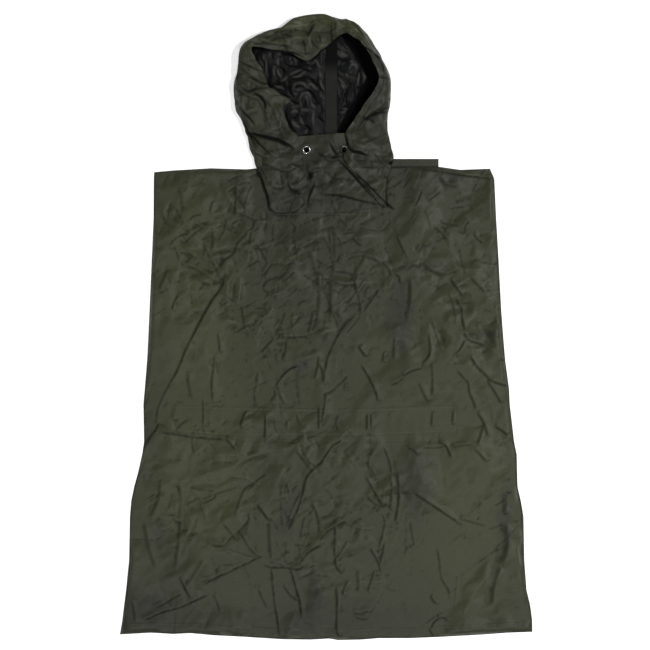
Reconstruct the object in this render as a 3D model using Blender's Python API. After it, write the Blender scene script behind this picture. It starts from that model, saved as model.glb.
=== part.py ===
# A pull-over rain poncho of coated nylon, laid out flat with its front up.
# The back panel lies on the surface, the front panels lie on it, and the hood is spread above the
# shoulder line with its opening upwards. X runs across the body, +Y to the crown of the hood, +Z up.
# Tables are in millimetres; the origin is under the middle of the whole garment.

import math

import bpy
import numpy as np
from mathutils import Vector, geometry

MM = 0.001

# Driving dimensions
CLOTH = 1.2  # wall of one layer of cloth
GAP = 0.3  # clearance between pieces at a seam or face to face
FRONT_LOW = 2 * CLOTH + GAP  # lowest top surface of the front, which lies on the back
FRONT_HIGH = 6.2  # highest ridge of the front's cloth
FRONT_INSET = 1.5  # the front stops this far inside the edge of the back
GENTLE_SIDE = 1.6  # reach of a fold's two flanks, in widths
STEEP_SIDE = 0.75
FOLD_SPACING = 15.0  # points along a fold
OPEN_SPACING = 36.0  # points on open cloth
EDGE_SPACING = 26.0  # points along an edge
NEAREST = 6.5  # points of a panel keep this distance
THROAT_TUCK = 8.0  # the throat panel reaches this far under the hood's edges
THROAT_SPACING = 17.0  # points on the throat panel
EDGE_ROLL = 16.0  # width over which the front rolls down at its free edges
HEM_DEPTH = 25.0  # turned-up hem, two layers of cloth
HEM_STEP = 1.0  # how far the turned hem stands above the panel
HEM_SLOPE = 2.0  # width of that step
SEAM_X = 12.0  # the hood's crown and centre-back seam
NOTCH_LEFT = -120.0  # square neck cut-out of the front
NOTCH_RIGHT = 131.0
NOTCH_BOTTOM = 262.0
REST_RISE = 1.1  # mean height of loosely lying cloth over its lowest level
CALM = (0.15, 22.0, 60.0)  # folds fade by the neck cut-out: share left, and distances near and far
BAND_CALM = 0.4  # share of the folds' height left under the waist band
BAND_RISE = 0.9  # height of the band's own puckers
BAND_PUCKER = 27.0  # spacing of those puckers
BAND_FADE = 9.0  # the puckers fade over this width at the band's edges
TAPE_ENDS = (372.0, 672.0)  # lower and upper end of the tape over the centre-back seam
TAPE_WIDTH = 24.0
TAPE_THICKNESS = 1.0
TAPE_CORNER = 6.0
EYELET_HOLE = 4.5  # radii
EYELET_BARREL = 5.4
EYELET_FLANGE = 9.6
EYELET_WASHER = 8.6
EYELET_FLAT = 0.6  # the cloth is level this far past the flange
SEGMENTS = 28  # facets round an eyelet
HOLE_SEGMENTS = 20  # facets round the hole in the cloth

# Steps of the hood's sections: over the top, round the outline in degrees, and along the floor
TOP_STEPS = (0, 0.12, 0.26, 0.42, 0.58, 0.73, 0.87, 1.0)
ROLL_STEPS = (30, 60, 90)
FLOOR_STEPS = (0.25, 0.55, 0.8, 1.0)
TOP_REACH = 0.45  # how far the top runs level from its edge, as a share of its width
SIDE_REACH = 0.9  # how high the side stands upright, as a share of its height
STEPS_PER_ROW = 2  # columns of points for each row of the hood's tables
LEFT_THROAT_ROW = 12  # rows of the hood's tables where the throat panel's side edges begin
RIGHT_THROAT_ROW = 11

SWELLS = (  # broad unevenness of loose cloth: wave lengths / 2 pi along x and y, phase, height
    (61, 143, 0.0, 0.45),
    (-97, 53, 1.3, 0.4),
)

# Side edges of the garment: y, left edge, right edge, and how far the back shows past the front there
SIDE_EDGES = (
    # y, left, right, peek_left, peek_right
    (364, -395, 377, 0, 0),
    (341, -396, 387, 0, 0),
    (253, -396.5, 391, 0, 0),
    (161, -400.5, 396.5, 0, 1),
    (37, -406, 403, 0, 0),
    (-28, -409, 408, 0, 2),
    (-76, -411.5, 412, 0, 0),
    (-143, -417, 421, 0, 1),
    (-177, -420, 422.5, 0, 0),
    (-264, -418.5, 432.5, 0, 0),
    (-293, -423, 438.5, 1, 0),
    (-333, -432, 439.5, 0, 2),
    (-368, -441.5, 440.5, 0, 0),
    (-400, -448, 448, 0, 0),
    (-435, -451, 454, 0, 2),
    (-536, -453, 456, 0, 2),
    (-605, -460, 461, 1, 0),
    (-640, -464.5, 469.5, 2, 0),
    (-674, -468.5, 474, 5, 1),
    (-710, -474.5, 474.5, 8, 1),
)

SHOULDER_LINE = (  # x, y, from left to right
    (-395, 356), (-351, 360), (-265, 365), (-184, 362.5), (-159, 365),
    (259, 368.5), (308, 361.5), (377, 364),
)

WAIST_SEAM = (  # x, y
    (-480, -236), (-384, -238), (-309, -248), (-223, -256), (-190, -263),
    (0, -267), (300, -264), (480, -262),
)

HEM_LINE = (  # x, y
    (-474.5, -707), (-403, -703), (-352, -706), (-311, -704), (-258, -709), (-196, -712), (-101, -718),
    (-37, -719), (9, -716.5), (27, -720), (78, -719), (122, -715.5), (195, -715.5), (276, -712),
    (356, -707.5), (418, -703), (474.5, -701),
)

BAND = (  # x, top edge, bottom edge
    (-356, -179, -241), (-302, -181, -245), (-198, -184, -253), (-127, -186, -250), (9, -189, -253),
    (101, -187, -250), (239, -182, -245), (301, -180, -243),
)

BACK_FLAP = ((158.8, 369.2), (258.6, 370.2), (258.6, 386.6), (158.8, 386.6))  # corners, x and y

# Largest folds of the front. A fold runs from start through mid to end. It rises gently on its
# left-hand side and drops sharply on its right-hand side, as seen along its run.
FOLDS = (
    # start x, y, mid x, y, end x, y, rise, width
    (-237, 92, -230, 152, -164, 239, 3.2, 13),
    (-387, -223, -318, -53, -237, 92, 3.5, 15),
    (-428, -308, -412, -271, -384, -237, 2.5, 12),
    (-384, -232, -308, -241, -223, -249, 2.6, 9),
    (14, 0, 25, 150, 20, 258, 1.8, 14),
    (-23, -18, -12, 85, -30, 168, 1.6, 12),
    (-101, -23, -44, -18, -32, 21, 2.4, 11),
    (-134, -136, -99, -87, -90, -30, 1.8, 11),
    (0, -94, 60, 12, 124, 87, 2.8, 14),
    (191, -7, 198, 62, 193, 115, 2.0, 16),
    (331, -25, 317, 51, 285, 113, 2.4, 13),
    (331, -62, 368, -113, 418, -133, 2.4, 13),
    (363, -218, 333, -150, 299, -90, 2.2, 12),
    (363, -218, 386, -228, 423, -246, 1.8, 11),
    (246, -168, 248, -110, 246, -53, 1.6, 11),
    (147, -133, 209, -97, 239, -53, 2.0, 11),
    (119, -170, 106, -122, 83, -83, 1.6, 11),
    (-12, -154, 18, -138, 48, -108, 1.6, 11),
    (-85, -478, -39, -352, 9, -274, 3.0, 14),
    (-32, -329, -49, -306, -72, -278, 1.8, 10),
    (-129, -529, -129, -455, -157, -407, 2.2, 12),
    (-104, -713, -118, -619, -129, -529, 2.6, 13),
    (-288, -593, -216, -561, -147, -524, 2.6, 12),
    (-426, -674, -348, -644, -269, -612, 2.6, 12),
    (-143, -540, -99, -554, -55, -547, 2.2, 11),
    (-72, -547, -19, -504, 55, -444, 2.0, 12),
    (-55, -676, -60, -619, -81, -554, 2.0, 12),
    (319, -458, 260, -421, 200, -377, 2.6, 11),
    (133, -412, 112, -379, 89, -338, 1.8, 11),
    (158, -453, 172, -391, 165, -329, 1.8, 12),
    (117, -554, 135, -481, 129, -421, 2.0, 12),
    (39, -566, 20, -513, 25, -444, 1.8, 12),
    (32, -713, 27, -651, 25, -591, 2.2, 12),
    (248, -713, 239, -690, 283, -669, 1.6, 10),
    (386, -637, 416, -524, 414, -453, 2.4, 20),
    (-210, 253, -205, 292, -207, 331, 1.6, 10),
    (-329, 193, -306, 212, -283, 232, 1.6, 10),
    (175, 315, 184, 334, 193, 350, 1.4, 10),
    (195, 152, 179, 182, 163, 212, 1.6, 10),
    (172, 99, 154, 131, 124, 152, 1.6, 10),
    (386, 330, 303, 350, 211, 360, 2.8, 12),
)

# Each half of the hood, from the crown seam down to the neck. A section runs from the edge of the
# face opening (or of the throat panel) over the top, round the outline and back under to the floor
# end, which follows the centre-back seam, then the back neckline, then the side of the neck cut-out.
HOOD_LEFT = (
    # outline x, y, edge x, y, z, roll radius, floor height, floor end x, y, z
    (SEAM_X, 714, SEAM_X, 655, 38, 17, 0, SEAM_X, 655, 0),
    (-14, 720, -9, 637, 30, 17, 0, SEAM_X, 640, 0),
    (-44, 717, -37, 616, 22, 17, 0, SEAM_X, 620, 0),
    (-74, 710, -60, 621, 24, 17, 0, SEAM_X, 600, 0),
    (-104, 694, -84, 632, 28, 17, 0, SEAM_X, 578, 0),
    (-147, 678, -122, 638, 31, 16, 0, SEAM_X, 550, 0),
    (-180, 653, -168, 641, 33, 14, 0, SEAM_X, 520, 0),
    (-196, 625, -161, 618, 33, 14, 0, SEAM_X, 490, 0),
    (-203, 591, -145, 591, 30, 14, 0, SEAM_X, 460, 0),
    (-207, 549, -110, 547, 24, 14, 0, SEAM_X, 430, 0),
    (-200, 499, -97, 506, 20, 13, 0, SEAM_X, 400, 0),
    (-187, 450, -84, 459, 17, 10, 0, SEAM_X, 367.5, 0),
    (-176, 416, -66, 437, 15, 8, 0, -60, 367, 0),
    (-166, 390, -84, 409, 15, 7, 0, -112, 367.5, 0.6),
    (-158, 366, -102, 374, 14, 5.5, 5.4, -132, 368, 5.4),
    (-144, 318, -112, 318, 12, 4, 5.4, -132, 318, 5.4),
    (-134, 270, -117, 268, 10.5, 2.7, 5.4, -128, 269, 5.4),
)

HOOD_RIGHT = (
    # outline x, y, edge x, y, z, roll radius, floor height, floor end x, y, z
    (SEAM_X, 714, SEAM_X, 655, 38, 17, 0, SEAM_X, 655, 0),
    (32, 711, 30, 668, 42, 17, 0, SEAM_X, 640, 0),
    (50, 710, 46, 673, 45, 17, 0, SEAM_X, 620, 0),
    (69, 699, 60, 666, 46, 17, 0, SEAM_X, 600, 0),
    (92, 676, 78, 653, 48, 16, 0, SEAM_X, 578, 0),
    (108, 647, 95, 633, 50, 15, 0, SEAM_X, 550, 0),
    (124, 620, 106, 608, 51, 15, 0, SEAM_X, 520, 0),
    (144, 577, 121, 573, 50, 14, 0, SEAM_X, 490, 0),
    (143, 527, 108, 540, 45, 14, 0, SEAM_X, 460, 0),
    (138, 488, 85, 506, 40, 13, 0, SEAM_X, 430, 0),
    (140, 450, 60, 470, 28, 9, 0, SEAM_X, 400, 0),
    (149, 414, 45, 446, 20, 6, 0, SEAM_X, 367.5, 0),
    (155, 396, 50, 414, 18, 5, 0, 60, 368, 0),
    (155, 384, 40, 388, 17.5, 5, 0, 122, 368.5, 0.6),
    (149, 366, 60, 361, 16, 5, 5.4, 136, 368.5, 5.4),
    (141, 322, 96, 322, 14, 4, 5.4, 134, 322, 5.4),
    (143, 274, 126, 278, 10.5, 2.7, 5.4, 135, 275, 5.4),
)

# Creases of the hood's top layer, as in FOLDS
HOOD_FOLDS = (
    # start x, y, mid x, y, end x, y, rise, width
    (-62, 432, -120, 446, -180, 452, 3.0, 12),
    (-110, 500, -150, 560, -185, 600, 2.6, 14),
    (-110, 380, -128, 420, -150, 470, 2.0, 11),
    (-46, 640, -90, 665, -130, 672, 3.0, 13),
    (0, 660, 12, 682, 8, 706, 2.6, 12),
    (40, 680, 44, 695, 62, 700, 2.2, 10),
    (90, 470, 112, 490, 132, 520, 2.6, 12),
    (62, 400, 90, 420, 130, 440, 2.4, 12),
    (105, 350, 112, 390, 128, 420, 2.0, 10),
)

# Throat panel: height of its surface at its left and right edge, down its length
THROAT_HEIGHTS = (
    # y, left z, right z
    (262, 3.4, 3.4),
    (285, 5.4, 5.8),
    (318, 9.0, 10.4),
    (370, 12.4, 12.8),
    (410, 13.4, 13.8),
    (446, 12.8, 14.6),
)

EYELETS = (("eyelet_left", -45.0, 407.0), ("eyelet_right", 41.0, 407.0))  # centre x, y

COLORS = {  # linear colour, roughness, metallic
    "cloth": ((0.048, 0.052, 0.036), 0.45, 0.0),
    "cloth_inside": ((0.012, 0.012, 0.012), 0.35, 0.0),
    "metal": ((0.62, 0.61, 0.58), 0.28, 1.0),
}


def smooth_step(low, high, value):
    t = np.clip((value - low) / (high - low), 0.0, 1.0)
    return t * t * (3 - 2 * t)


def smooth_table(rows, position):
    # Catmull-Rom curve through the rows of a table, read at fractional row numbers.
    table = np.array(rows, dtype=float)
    position = np.asarray(position, dtype=float)
    row = np.clip(np.floor(position).astype(int), 0, len(table) - 2)
    t = (position - row)[:, None]
    before = table[np.maximum(row - 1, 0)]
    start = table[row]
    end = table[row + 1]
    after = table[np.minimum(row + 2, len(table) - 1)]
    square = 2 * before - 5 * start + 4 * end - after
    cube = 3 * (start - end) + after - before
    return start + 0.5 * t * (end - before + t * (square + t * cube))


def straight_table(rows, position):
    # The same, with straight runs from row to row.
    table = np.array(rows, dtype=float)
    numbers = np.arange(len(table))
    return np.column_stack([np.interp(position, numbers, column) for column in table.T])


def line_y(line, x):
    return np.interp(x, [point[0] for point in line], [point[1] for point in line])


def side_x(y, left_side, inset):
    # x of a side edge; the front's own edge is moved in by its inset and by the back's peek.
    rows = np.array(SIDE_EDGES[::-1], dtype=float)
    edge = np.interp(y, rows[:, 0], rows[:, 1 if left_side else 2])
    peek = np.interp(y, rows[:, 0], rows[:, 3 if left_side else 4])
    step = inset + (peek if inset else 0)
    return edge + step if left_side else edge - step


def stations(start, end, spacing):
    return np.linspace(start, end, max(2, int(math.ceil(abs(end - start) / spacing)) + 1))


def corner_y(line, left_side, inset, step):
    # Where a cross line meets a side edge, found by a few repeated steps.
    y = line[0][1]
    for _ in range(6):
        y = line_y(line, side_x(y, left_side, inset)) + step
    return y


def closed_outline(runs):
    # Joins runs of points end to end and drops each repeated corner.
    points = np.vstack(runs)
    keep = np.linalg.norm(points - np.roll(points, 1, axis=0), axis=1) > 0.5
    return points[keep]


def panel_outline(top_line, bottom_line, inset, top_step, bottom_step, notch=False):
    # Counter-clockwise outline of a body panel between two cross lines and the side edges.
    tops = [corner_y(top_line, is_left, inset, -top_step) for is_left in (True, False)]
    bottoms = [corner_y(bottom_line, is_left, inset, bottom_step) for is_left in (True, False)]
    left_y = stations(tops[0], bottoms[0], EDGE_SPACING)
    right_y = stations(bottoms[1], tops[1], EDGE_SPACING)
    left = np.column_stack([side_x(left_y, True, inset), left_y])
    right = np.column_stack([side_x(right_y, False, inset), right_y])
    bottom_x = stations(left[-1, 0], right[0, 0], EDGE_SPACING)
    bottom = np.column_stack([bottom_x, line_y(bottom_line, bottom_x) + bottom_step])
    spans = [(right[-1, 0], left[0, 0])]
    if notch:
        spans = [(right[-1, 0], NOTCH_RIGHT), (NOTCH_LEFT, left[0, 0])]
    runs = [left, bottom, right]
    for number, (start, end) in enumerate(spans):
        if number:
            across = stations(NOTCH_RIGHT, NOTCH_LEFT, EDGE_SPACING)
            runs.append(np.column_stack([across, np.full(len(across), NOTCH_BOTTOM)]))
        top_x = stations(start, end, EDGE_SPACING)
        runs.append(np.column_stack([top_x, line_y(top_line, top_x) - top_step]))
    return closed_outline(runs)


def edge_distance(points, outline):
    # Distance from each point to the nearest side of a closed outline.
    start = outline
    run = np.roll(outline, -1, axis=0) - outline
    nearest = np.full(len(points), np.inf)
    for corner, side in zip(start, run):
        away = points - corner
        t = np.clip(away @ side / max(side @ side, 1e-9), 0, 1)
        nearest = np.minimum(nearest, np.linalg.norm(away - t[:, None] * side, axis=1))
    return nearest


def inside(points, outline):
    # Even-odd rule: counts the sides crossed on the way to the right.
    crossings = np.zeros(len(points), dtype=int)
    for (ax, ay), (bx, by) in zip(outline, np.roll(outline, -1, axis=0)):
        if ay == by:
            continue
        spans = (points[:, 1] >= min(ay, by)) & (points[:, 1] < max(ay, by))
        crossing_x = ax + (points[:, 1] - ay) * (bx - ax) / (by - ay)
        crossings += spans & (crossing_x > points[:, 0])
    return crossings % 2 == 1


def fold_run(row, count):
    # Quadratic curve through a fold's start, mid and end point.
    start, mid, end = (np.array(row[i:i + 2], dtype=float) for i in (0, 2, 4))
    control = 2 * mid - 0.5 * (start + end)
    t = np.linspace(0, 1, count)[:, None]
    return (1 - t) ** 2 * start + 2 * t * (1 - t) * control + t * t * end


def fold_height(points, folds):
    # Height that the folds add: rise * exp(-(d / reach)^2), fading out at both ends of each run.
    # The reach is long on the fold's left-hand side and short on its right-hand side.
    total = np.zeros(len(points))
    for row in folds:
        rise, width = row[6], row[7]
        run = fold_run(row, 13)
        nearest = np.full(len(points), np.inf)
        along = np.zeros(len(points))
        signed = np.zeros(len(points))
        for number, (a, b) in enumerate(zip(run[:-1], run[1:])):
            side = b - a
            away = points - a
            t = np.clip(away @ side / (side @ side), 0, 1)
            distance = np.linalg.norm(away - t[:, None] * side, axis=1)
            closer = distance < nearest
            turn = side[0] * away[:, 1] - side[1] * away[:, 0]
            nearest = np.where(closer, distance, nearest)
            along = np.where(closer, (number + t) / (len(run) - 1), along)
            signed = np.where(closer, turn, signed)
        reach = width * np.where(signed > 0, GENTLE_SIDE, STEEP_SIDE)
        ends = smooth_step(0, 0.2, along) * smooth_step(0, 0.2, 1 - along)
        total += rise * np.exp(-(nearest / reach) ** 2) * ends
    return total


def fold_points(folds):
    # Points on each fold's crest and at the foot of its two flanks.
    found = []
    for row in folds:
        width = row[7]
        length = math.dist(row[0:2], row[2:4]) + math.dist(row[2:4], row[4:6])
        run = fold_run(row, max(4, int(length / FOLD_SPACING)))
        direction = np.gradient(run, axis=0)
        direction /= np.linalg.norm(direction, axis=1)[:, None]
        left = np.column_stack([-direction[:, 1], direction[:, 0]])
        found += [run, run - left * width * STEEP_SIDE, run + left * width * GENTLE_SIDE]
    return np.vstack(found)


def open_points(outline, spacing):
    # Staggered rows of points over the whole panel.
    low = outline.min(axis=0)
    high = outline.max(axis=0)
    found = []
    for number, y in enumerate(np.arange(low[1], high[1], spacing * math.sin(math.pi / 3))):
        shift = 0.5 * spacing * (number % 2)
        x = np.arange(low[0] + shift, high[0], spacing)
        found.append(np.column_stack([x, np.full(len(x), y)]))
    return np.vstack(found)


def spread(candidates, fixed, outline):
    # Keeps the candidates that lie on the panel, clear of its edge and of the points already kept.
    on_panel = inside(candidates, outline) & (edge_distance(candidates, outline) > NEAREST)
    kept = np.array(fixed, dtype=float)
    for point in candidates[on_panel]:
        if np.min(np.sum((kept - point) ** 2, axis=1)) > NEAREST ** 2:
            kept = np.vstack([kept, point])
    return kept[len(fixed):]


def triangulate(outline, inner_points, inner_outlines=(), holes=()):
    # Delaunay triangles inside an outline, with the inner outlines as edges and the holes left open.
    edges = []
    count = 0
    for loop in (outline, *inner_outlines, *holes):
        edges += [(count + i, count + (i + 1) % len(loop)) for i in range(len(loop))]
        count += len(loop)
    points = np.vstack([outline, *inner_outlines, *holes, inner_points])
    result = geometry.delaunay_2d_cdt(
        [Vector(point) for point in points], edges, [list(range(len(outline)))], 1, 1e-5)
    flat = np.array([tuple(point) for point in result[0]])
    triangles = np.array([face for face in result[2] if len(face) == 3])
    centres = flat[triangles].mean(axis=1)
    keep = np.ones(len(triangles), dtype=bool)
    for hole in holes:
        keep &= ~inside(centres, hole)
    return flat, triangles[keep]


def make_material(name, finish):
    color, roughness, metallic = COLORS[finish]
    material = bpy.data.materials.new(name)
    material.use_nodes = True
    shader = material.node_tree.nodes["Principled BSDF"]
    shader.inputs["Base Color"].default_value = (*color, 1.0)
    shader.inputs["Roughness"].default_value = roughness
    shader.inputs["Metallic"].default_value = metallic
    return material


def make_object(name, vertices, faces, finish):
    # vertices in millimetres
    mesh = bpy.data.meshes.new(name)
    mesh.from_pydata((np.asarray(vertices) * MM).tolist(), [], [list(face) for face in faces])
    mesh.validate()
    mesh.materials.append(make_material(name, finish))
    made = bpy.data.objects.new(name, mesh)
    bpy.context.scene.collection.objects.link(made)
    return made


def sheet_object(name, flat, triangles, top, bottom, finish):
    # A wall between two heights over the same triangles, closed along every open edge.
    used, renumbered = np.unique(triangles, return_inverse=True)
    triangles = renumbered.reshape(-1, 3)
    count = len(used)
    upper = np.column_stack([flat[used], top[used]])
    lower = np.column_stack([flat[used], bottom[used]])
    directed = {(t[i], t[(i + 1) % 3]) for t in triangles.tolist() for i in range(3)}
    rim = [(a, b) for a, b in sorted(directed) if (b, a) not in directed]
    faces = triangles.tolist()
    faces += (triangles[:, ::-1] + count).tolist()
    faces += [(a + count, b + count, b, a) for a, b in rim]
    return make_object(name, np.vstack([upper, lower]), faces, finish)


def grid_wall(name, outer, inner, finish):
    # A wall between two grids of points, with triangles that match on both sides.
    rows, columns = outer.shape[:2]
    number = np.arange(rows * columns).reshape(rows, columns)
    a, b, c, d = number[:-1, :-1], number[:-1, 1:], number[1:, 1:], number[1:, :-1]
    skin = np.concatenate([
        np.stack([a, b, d], axis=-1).reshape(-1, 3),
        np.stack([b, c, d], axis=-1).reshape(-1, 3),
    ])
    flat_outer = outer.reshape(-1, 3)
    corners = flat_outer[skin]
    normals = np.cross(corners[:, 1] - corners[:, 0], corners[:, 2] - corners[:, 0])
    depth = (flat_outer - inner.reshape(-1, 3))[skin].mean(axis=1)
    if np.sum(normals * depth) < 0:
        skin = skin[:, ::-1]
    directed = {(t[i], t[(i + 1) % 3]) for t in skin.tolist() for i in range(3)}
    rim = [(p, q) for p, q in sorted(directed) if (q, p) not in directed]
    count = rows * columns
    faces = skin.tolist()
    faces += (skin[:, ::-1] + count).tolist()
    faces += [(p + count, q + count, q, p) for p, q in rim]
    return make_object(name, np.vstack([flat_outer, inner.reshape(-1, 3)]), faces, finish)


def swell(points):
    # Sum of crossed waves: height * sin(x / x_length + y / y_length + phase).
    x, y = points[:, 0], points[:, 1]
    return sum(height * np.sin(x / lx + y / ly + phase) for lx, ly, phase, height in SWELLS)


def front_surface(points, front_outline):
    # Height of the front's outer surface, and the thickness of its wall.
    top = HOOD_LEFT[0][1]
    notch = np.array([(NOTCH_LEFT, NOTCH_BOTTOM), (NOTCH_RIGHT, NOTCH_BOTTOM),
                      (NOTCH_RIGHT, top), (NOTCH_LEFT, top)], dtype=float)
    by_neck = np.where(inside(points, notch), 0, edge_distance(points, notch))
    share, near, far = CALM
    calm = share + (1 - share) * smooth_step(near, far, by_neck)
    under_band = inside(points, band_outline()) | (edge_distance(points, band_outline()) < 1)
    calm = np.where(under_band, BAND_CALM * calm, calm)
    rise = REST_RISE + swell(points) + fold_height(points, FOLDS)
    rise = np.clip(rise * calm, 0, FRONT_HIGH - FRONT_LOW)
    roll = smooth_step(0, EDGE_ROLL, edge_distance(points, front_outline))
    hem_line = line_y(HEM_LINE, points[:, 0]) + HEM_DEPTH
    hem = HEM_STEP * smooth_step(0, HEM_SLOPE, hem_line - points[:, 1])
    return FRONT_LOW + rise * roll + hem, CLOTH + hem


def band_outline():
    rows = np.array(BAND, dtype=float)
    numbers = np.linspace(0, len(rows) - 1, 4 * (len(rows) - 1) + 1)
    rows = straight_table(rows, numbers)
    lower = rows[:, [0, 2]]
    upper = rows[::-1, [0, 1]]
    return np.vstack([lower, upper])


def build_body():
    back_outline = panel_outline(SHOULDER_LINE, HEM_LINE, 0, 0, 0)
    flat, triangles = triangulate(back_outline, np.empty((0, 2)))
    level = np.full(len(flat), CLOTH)
    sheet_object("back_panel", flat, triangles, level, level * 0, "cloth")

    flap = np.array(BACK_FLAP, dtype=float)
    flat, triangles = triangulate(flap, np.empty((0, 2)))
    level = np.full(len(flat), CLOTH)
    sheet_object("back_flap", flat, triangles, level, level * 0, "cloth")

    front = panel_outline(SHOULDER_LINE, HEM_LINE, FRONT_INSET, FRONT_INSET, FRONT_INSET)
    upper = panel_outline(SHOULDER_LINE, WAIST_SEAM, FRONT_INSET, FRONT_INSET, GAP / 2, notch=True)
    lower = panel_outline(WAIST_SEAM, HEM_LINE, FRONT_INSET, GAP / 2, FRONT_INSET)
    band = band_outline()

    band_x = stations(BAND[0][0], BAND[-1][0], BAND_PUCKER / 2)[1:-1]
    band_rows = np.array(BAND, dtype=float)
    inner = []
    for part in (0.25, 0.5, 0.75):
        top = np.interp(band_x, band_rows[:, 0], band_rows[:, 1])
        bottom = np.interp(band_x, band_rows[:, 0], band_rows[:, 2])
        inner.append(np.column_stack([band_x, bottom + part * (top - bottom)]))
    fixed = np.vstack([upper, band, *inner])
    free = spread(np.vstack([fold_points(FOLDS), open_points(upper, OPEN_SPACING)]), fixed, upper)
    flat, triangles = triangulate(upper, np.vstack([*inner, free]), inner_outlines=[band])
    top, wall = front_surface(flat, front)
    sheet_object("front_upper", flat, triangles, top, top - wall, "cloth")

    on_band = inside(flat[triangles].mean(axis=1), band)
    from_edge = smooth_step(0, BAND_FADE, edge_distance(flat, band))
    pucker = BAND_RISE * from_edge * (0.5 + 0.5 * np.sin(math.tau * flat[:, 0] / BAND_PUCKER))
    base = top + GAP + pucker
    sheet_object("waist_band", flat, triangles[on_band], base + CLOTH, base, "cloth")

    hem_x = stations(lower[:, 0].min(), lower[:, 0].max(), EDGE_SPACING)
    hem_y = line_y(HEM_LINE, hem_x) + HEM_DEPTH
    hem = np.vstack([np.column_stack([hem_x, hem_y]), np.column_stack([hem_x, hem_y - HEM_SLOPE])])
    hem = hem[inside(hem, lower) & (edge_distance(hem, lower) > HEM_SLOPE)]
    fixed = np.vstack([lower, hem])
    free = spread(np.vstack([fold_points(FOLDS), open_points(lower, OPEN_SPACING)]), fixed, lower)
    flat, triangles = triangulate(lower, np.vstack([hem, free]))
    top, wall = front_surface(flat, front)
    sheet_object("front_lower", flat, triangles, top, top - wall, "cloth")


def hood_stations():
    last = len(HOOD_LEFT) - 1
    return np.linspace(0, last, STEPS_PER_ROW * last + 1)


def build_hood_half(name, rows, seam_shift):
    # Outer surface: a cubic curve from the edge over the top to the outline, a quarter round under
    # it, and a straight run along the floor. Rows run round a section, columns along the hood.
    curved = smooth_table([row[:6] for row in rows], hood_stations())
    straight = straight_table([row[6:] for row in rows], hood_stations())
    outline, edge, roll = curved[:, 0:2], curved[:, 2:5], curved[:, 5]
    floor, floor_end = straight[:, 0], straight[:, 1:4]
    crest = np.maximum(edge[:, 2], floor + 2 * roll)
    side = np.column_stack([outline, floor + roll])
    over = np.column_stack([edge[:, 0:2] + TOP_REACH * (outline - edge[:, 0:2]), crest])
    above = np.column_stack([outline, side[:, 2] + SIDE_REACH * (crest - side[:, 2])])
    inward = floor_end[:, 0:2] - outline
    inward /= np.linalg.norm(inward, axis=1)[:, None]

    sections = []
    for t in TOP_STEPS:
        point = (1 - t) ** 3 * edge + 3 * (1 - t) ** 2 * t * over + 3 * (1 - t) * t * t * above
        point = point + t ** 3 * side
        weight = smooth_step(0, 0.35, 1 - t)
        point[:, 2] += weight * fold_height(point[:, 0:2], HOOD_FOLDS)
        sections.append(point)
    for angle in np.radians(ROLL_STEPS):
        flat = outline + inward * (roll * (1 - math.cos(angle)))[:, None]
        sections.append(np.column_stack([flat, floor + roll * (1 - math.sin(angle))]))
    foot = sections[-1]
    for t in FLOOR_STEPS:
        sections.append(foot + t * (floor_end - foot))
    outer = np.stack(sections)
    outer[:, :, 0] += seam_shift

    along = np.gradient(outer, axis=1)
    around = np.gradient(outer, axis=0)
    normal = np.cross(along, around)
    if normal[:len(TOP_STEPS) - 2, :, 2].mean() < 0:
        normal = -normal
    normal[:, 0, 0] = 0  # the crown seam stays in its plane
    normal[-len(FLOOR_STEPS):] = (0, 0, -1)
    normal /= np.linalg.norm(normal, axis=2)[:, :, None]
    inner = outer - CLOTH * normal
    grid_wall(name, outer, inner, "cloth")
    return outer[0]


def build_throat(left_edge, right_edge):
    # Lies under the edges of both hood halves and fills the neck cut-out down to the front.
    left = left_edge[STEPS_PER_ROW * LEFT_THROAT_ROW:, 0:2] - (THROAT_TUCK, 0)
    right = right_edge[STEPS_PER_ROW * RIGHT_THROAT_ROW:, 0:2] + (THROAT_TUCK, 0)
    left[:, 0] = np.maximum(left[:, 0], NOTCH_LEFT + 2 * GAP)
    right[:, 0] = np.minimum(right[:, 0], NOTCH_RIGHT - 2 * GAP)
    bottom_y = NOTCH_BOTTOM + GAP
    bottom_x = stations(NOTCH_LEFT + 2 * GAP, NOTCH_RIGHT - 2 * GAP, EDGE_SPACING)
    bottom = np.column_stack([bottom_x, np.full(len(bottom_x), bottom_y)])
    outline = closed_outline([left, bottom, right[::-1]])

    holes = []
    rings = []
    for _, x, y in EYELETS:
        angle = np.linspace(0, math.tau, HOLE_SEGMENTS, endpoint=False)
        circle = np.column_stack([np.cos(angle), np.sin(angle)])
        hole_radius = (EYELET_BARREL + GAP) / math.cos(math.pi / HOLE_SEGMENTS)
        holes.append(circle * hole_radius + (x, y))
        rings.append(circle * (EYELET_FLANGE + EYELET_FLAT) + (x, y))
    around = np.vstack(holes + rings)
    free = spread(open_points(outline, THROAT_SPACING), np.vstack([outline, around]), outline)
    flat, triangles = triangulate(outline, free, inner_outlines=rings, holes=holes)

    def surface(points):
        rows = np.array(THROAT_HEIGHTS, dtype=float)
        part = np.clip((points[:, 0] - NOTCH_LEFT) / (NOTCH_RIGHT - NOTCH_LEFT), 0, 1)
        left_z = np.interp(points[:, 1], rows[:, 0], rows[:, 1])
        right_z = np.interp(points[:, 1], rows[:, 0], rows[:, 2])
        return left_z + part * (right_z - left_z)

    top = surface(flat)
    for _, x, y in EYELETS:
        centre = np.array([[x, y]])
        distance = np.linalg.norm(flat - centre, axis=1)
        level = surface(centre)[0]
        top = np.where(distance < EYELET_FLANGE + 2 * EYELET_FLAT, level, top)
    sheet_object("throat_panel", flat, triangles, top, top - CLOTH, "cloth")
    return {name: float(surface(np.array([[x, y]]))[0]) for name, x, y in EYELETS}


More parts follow.
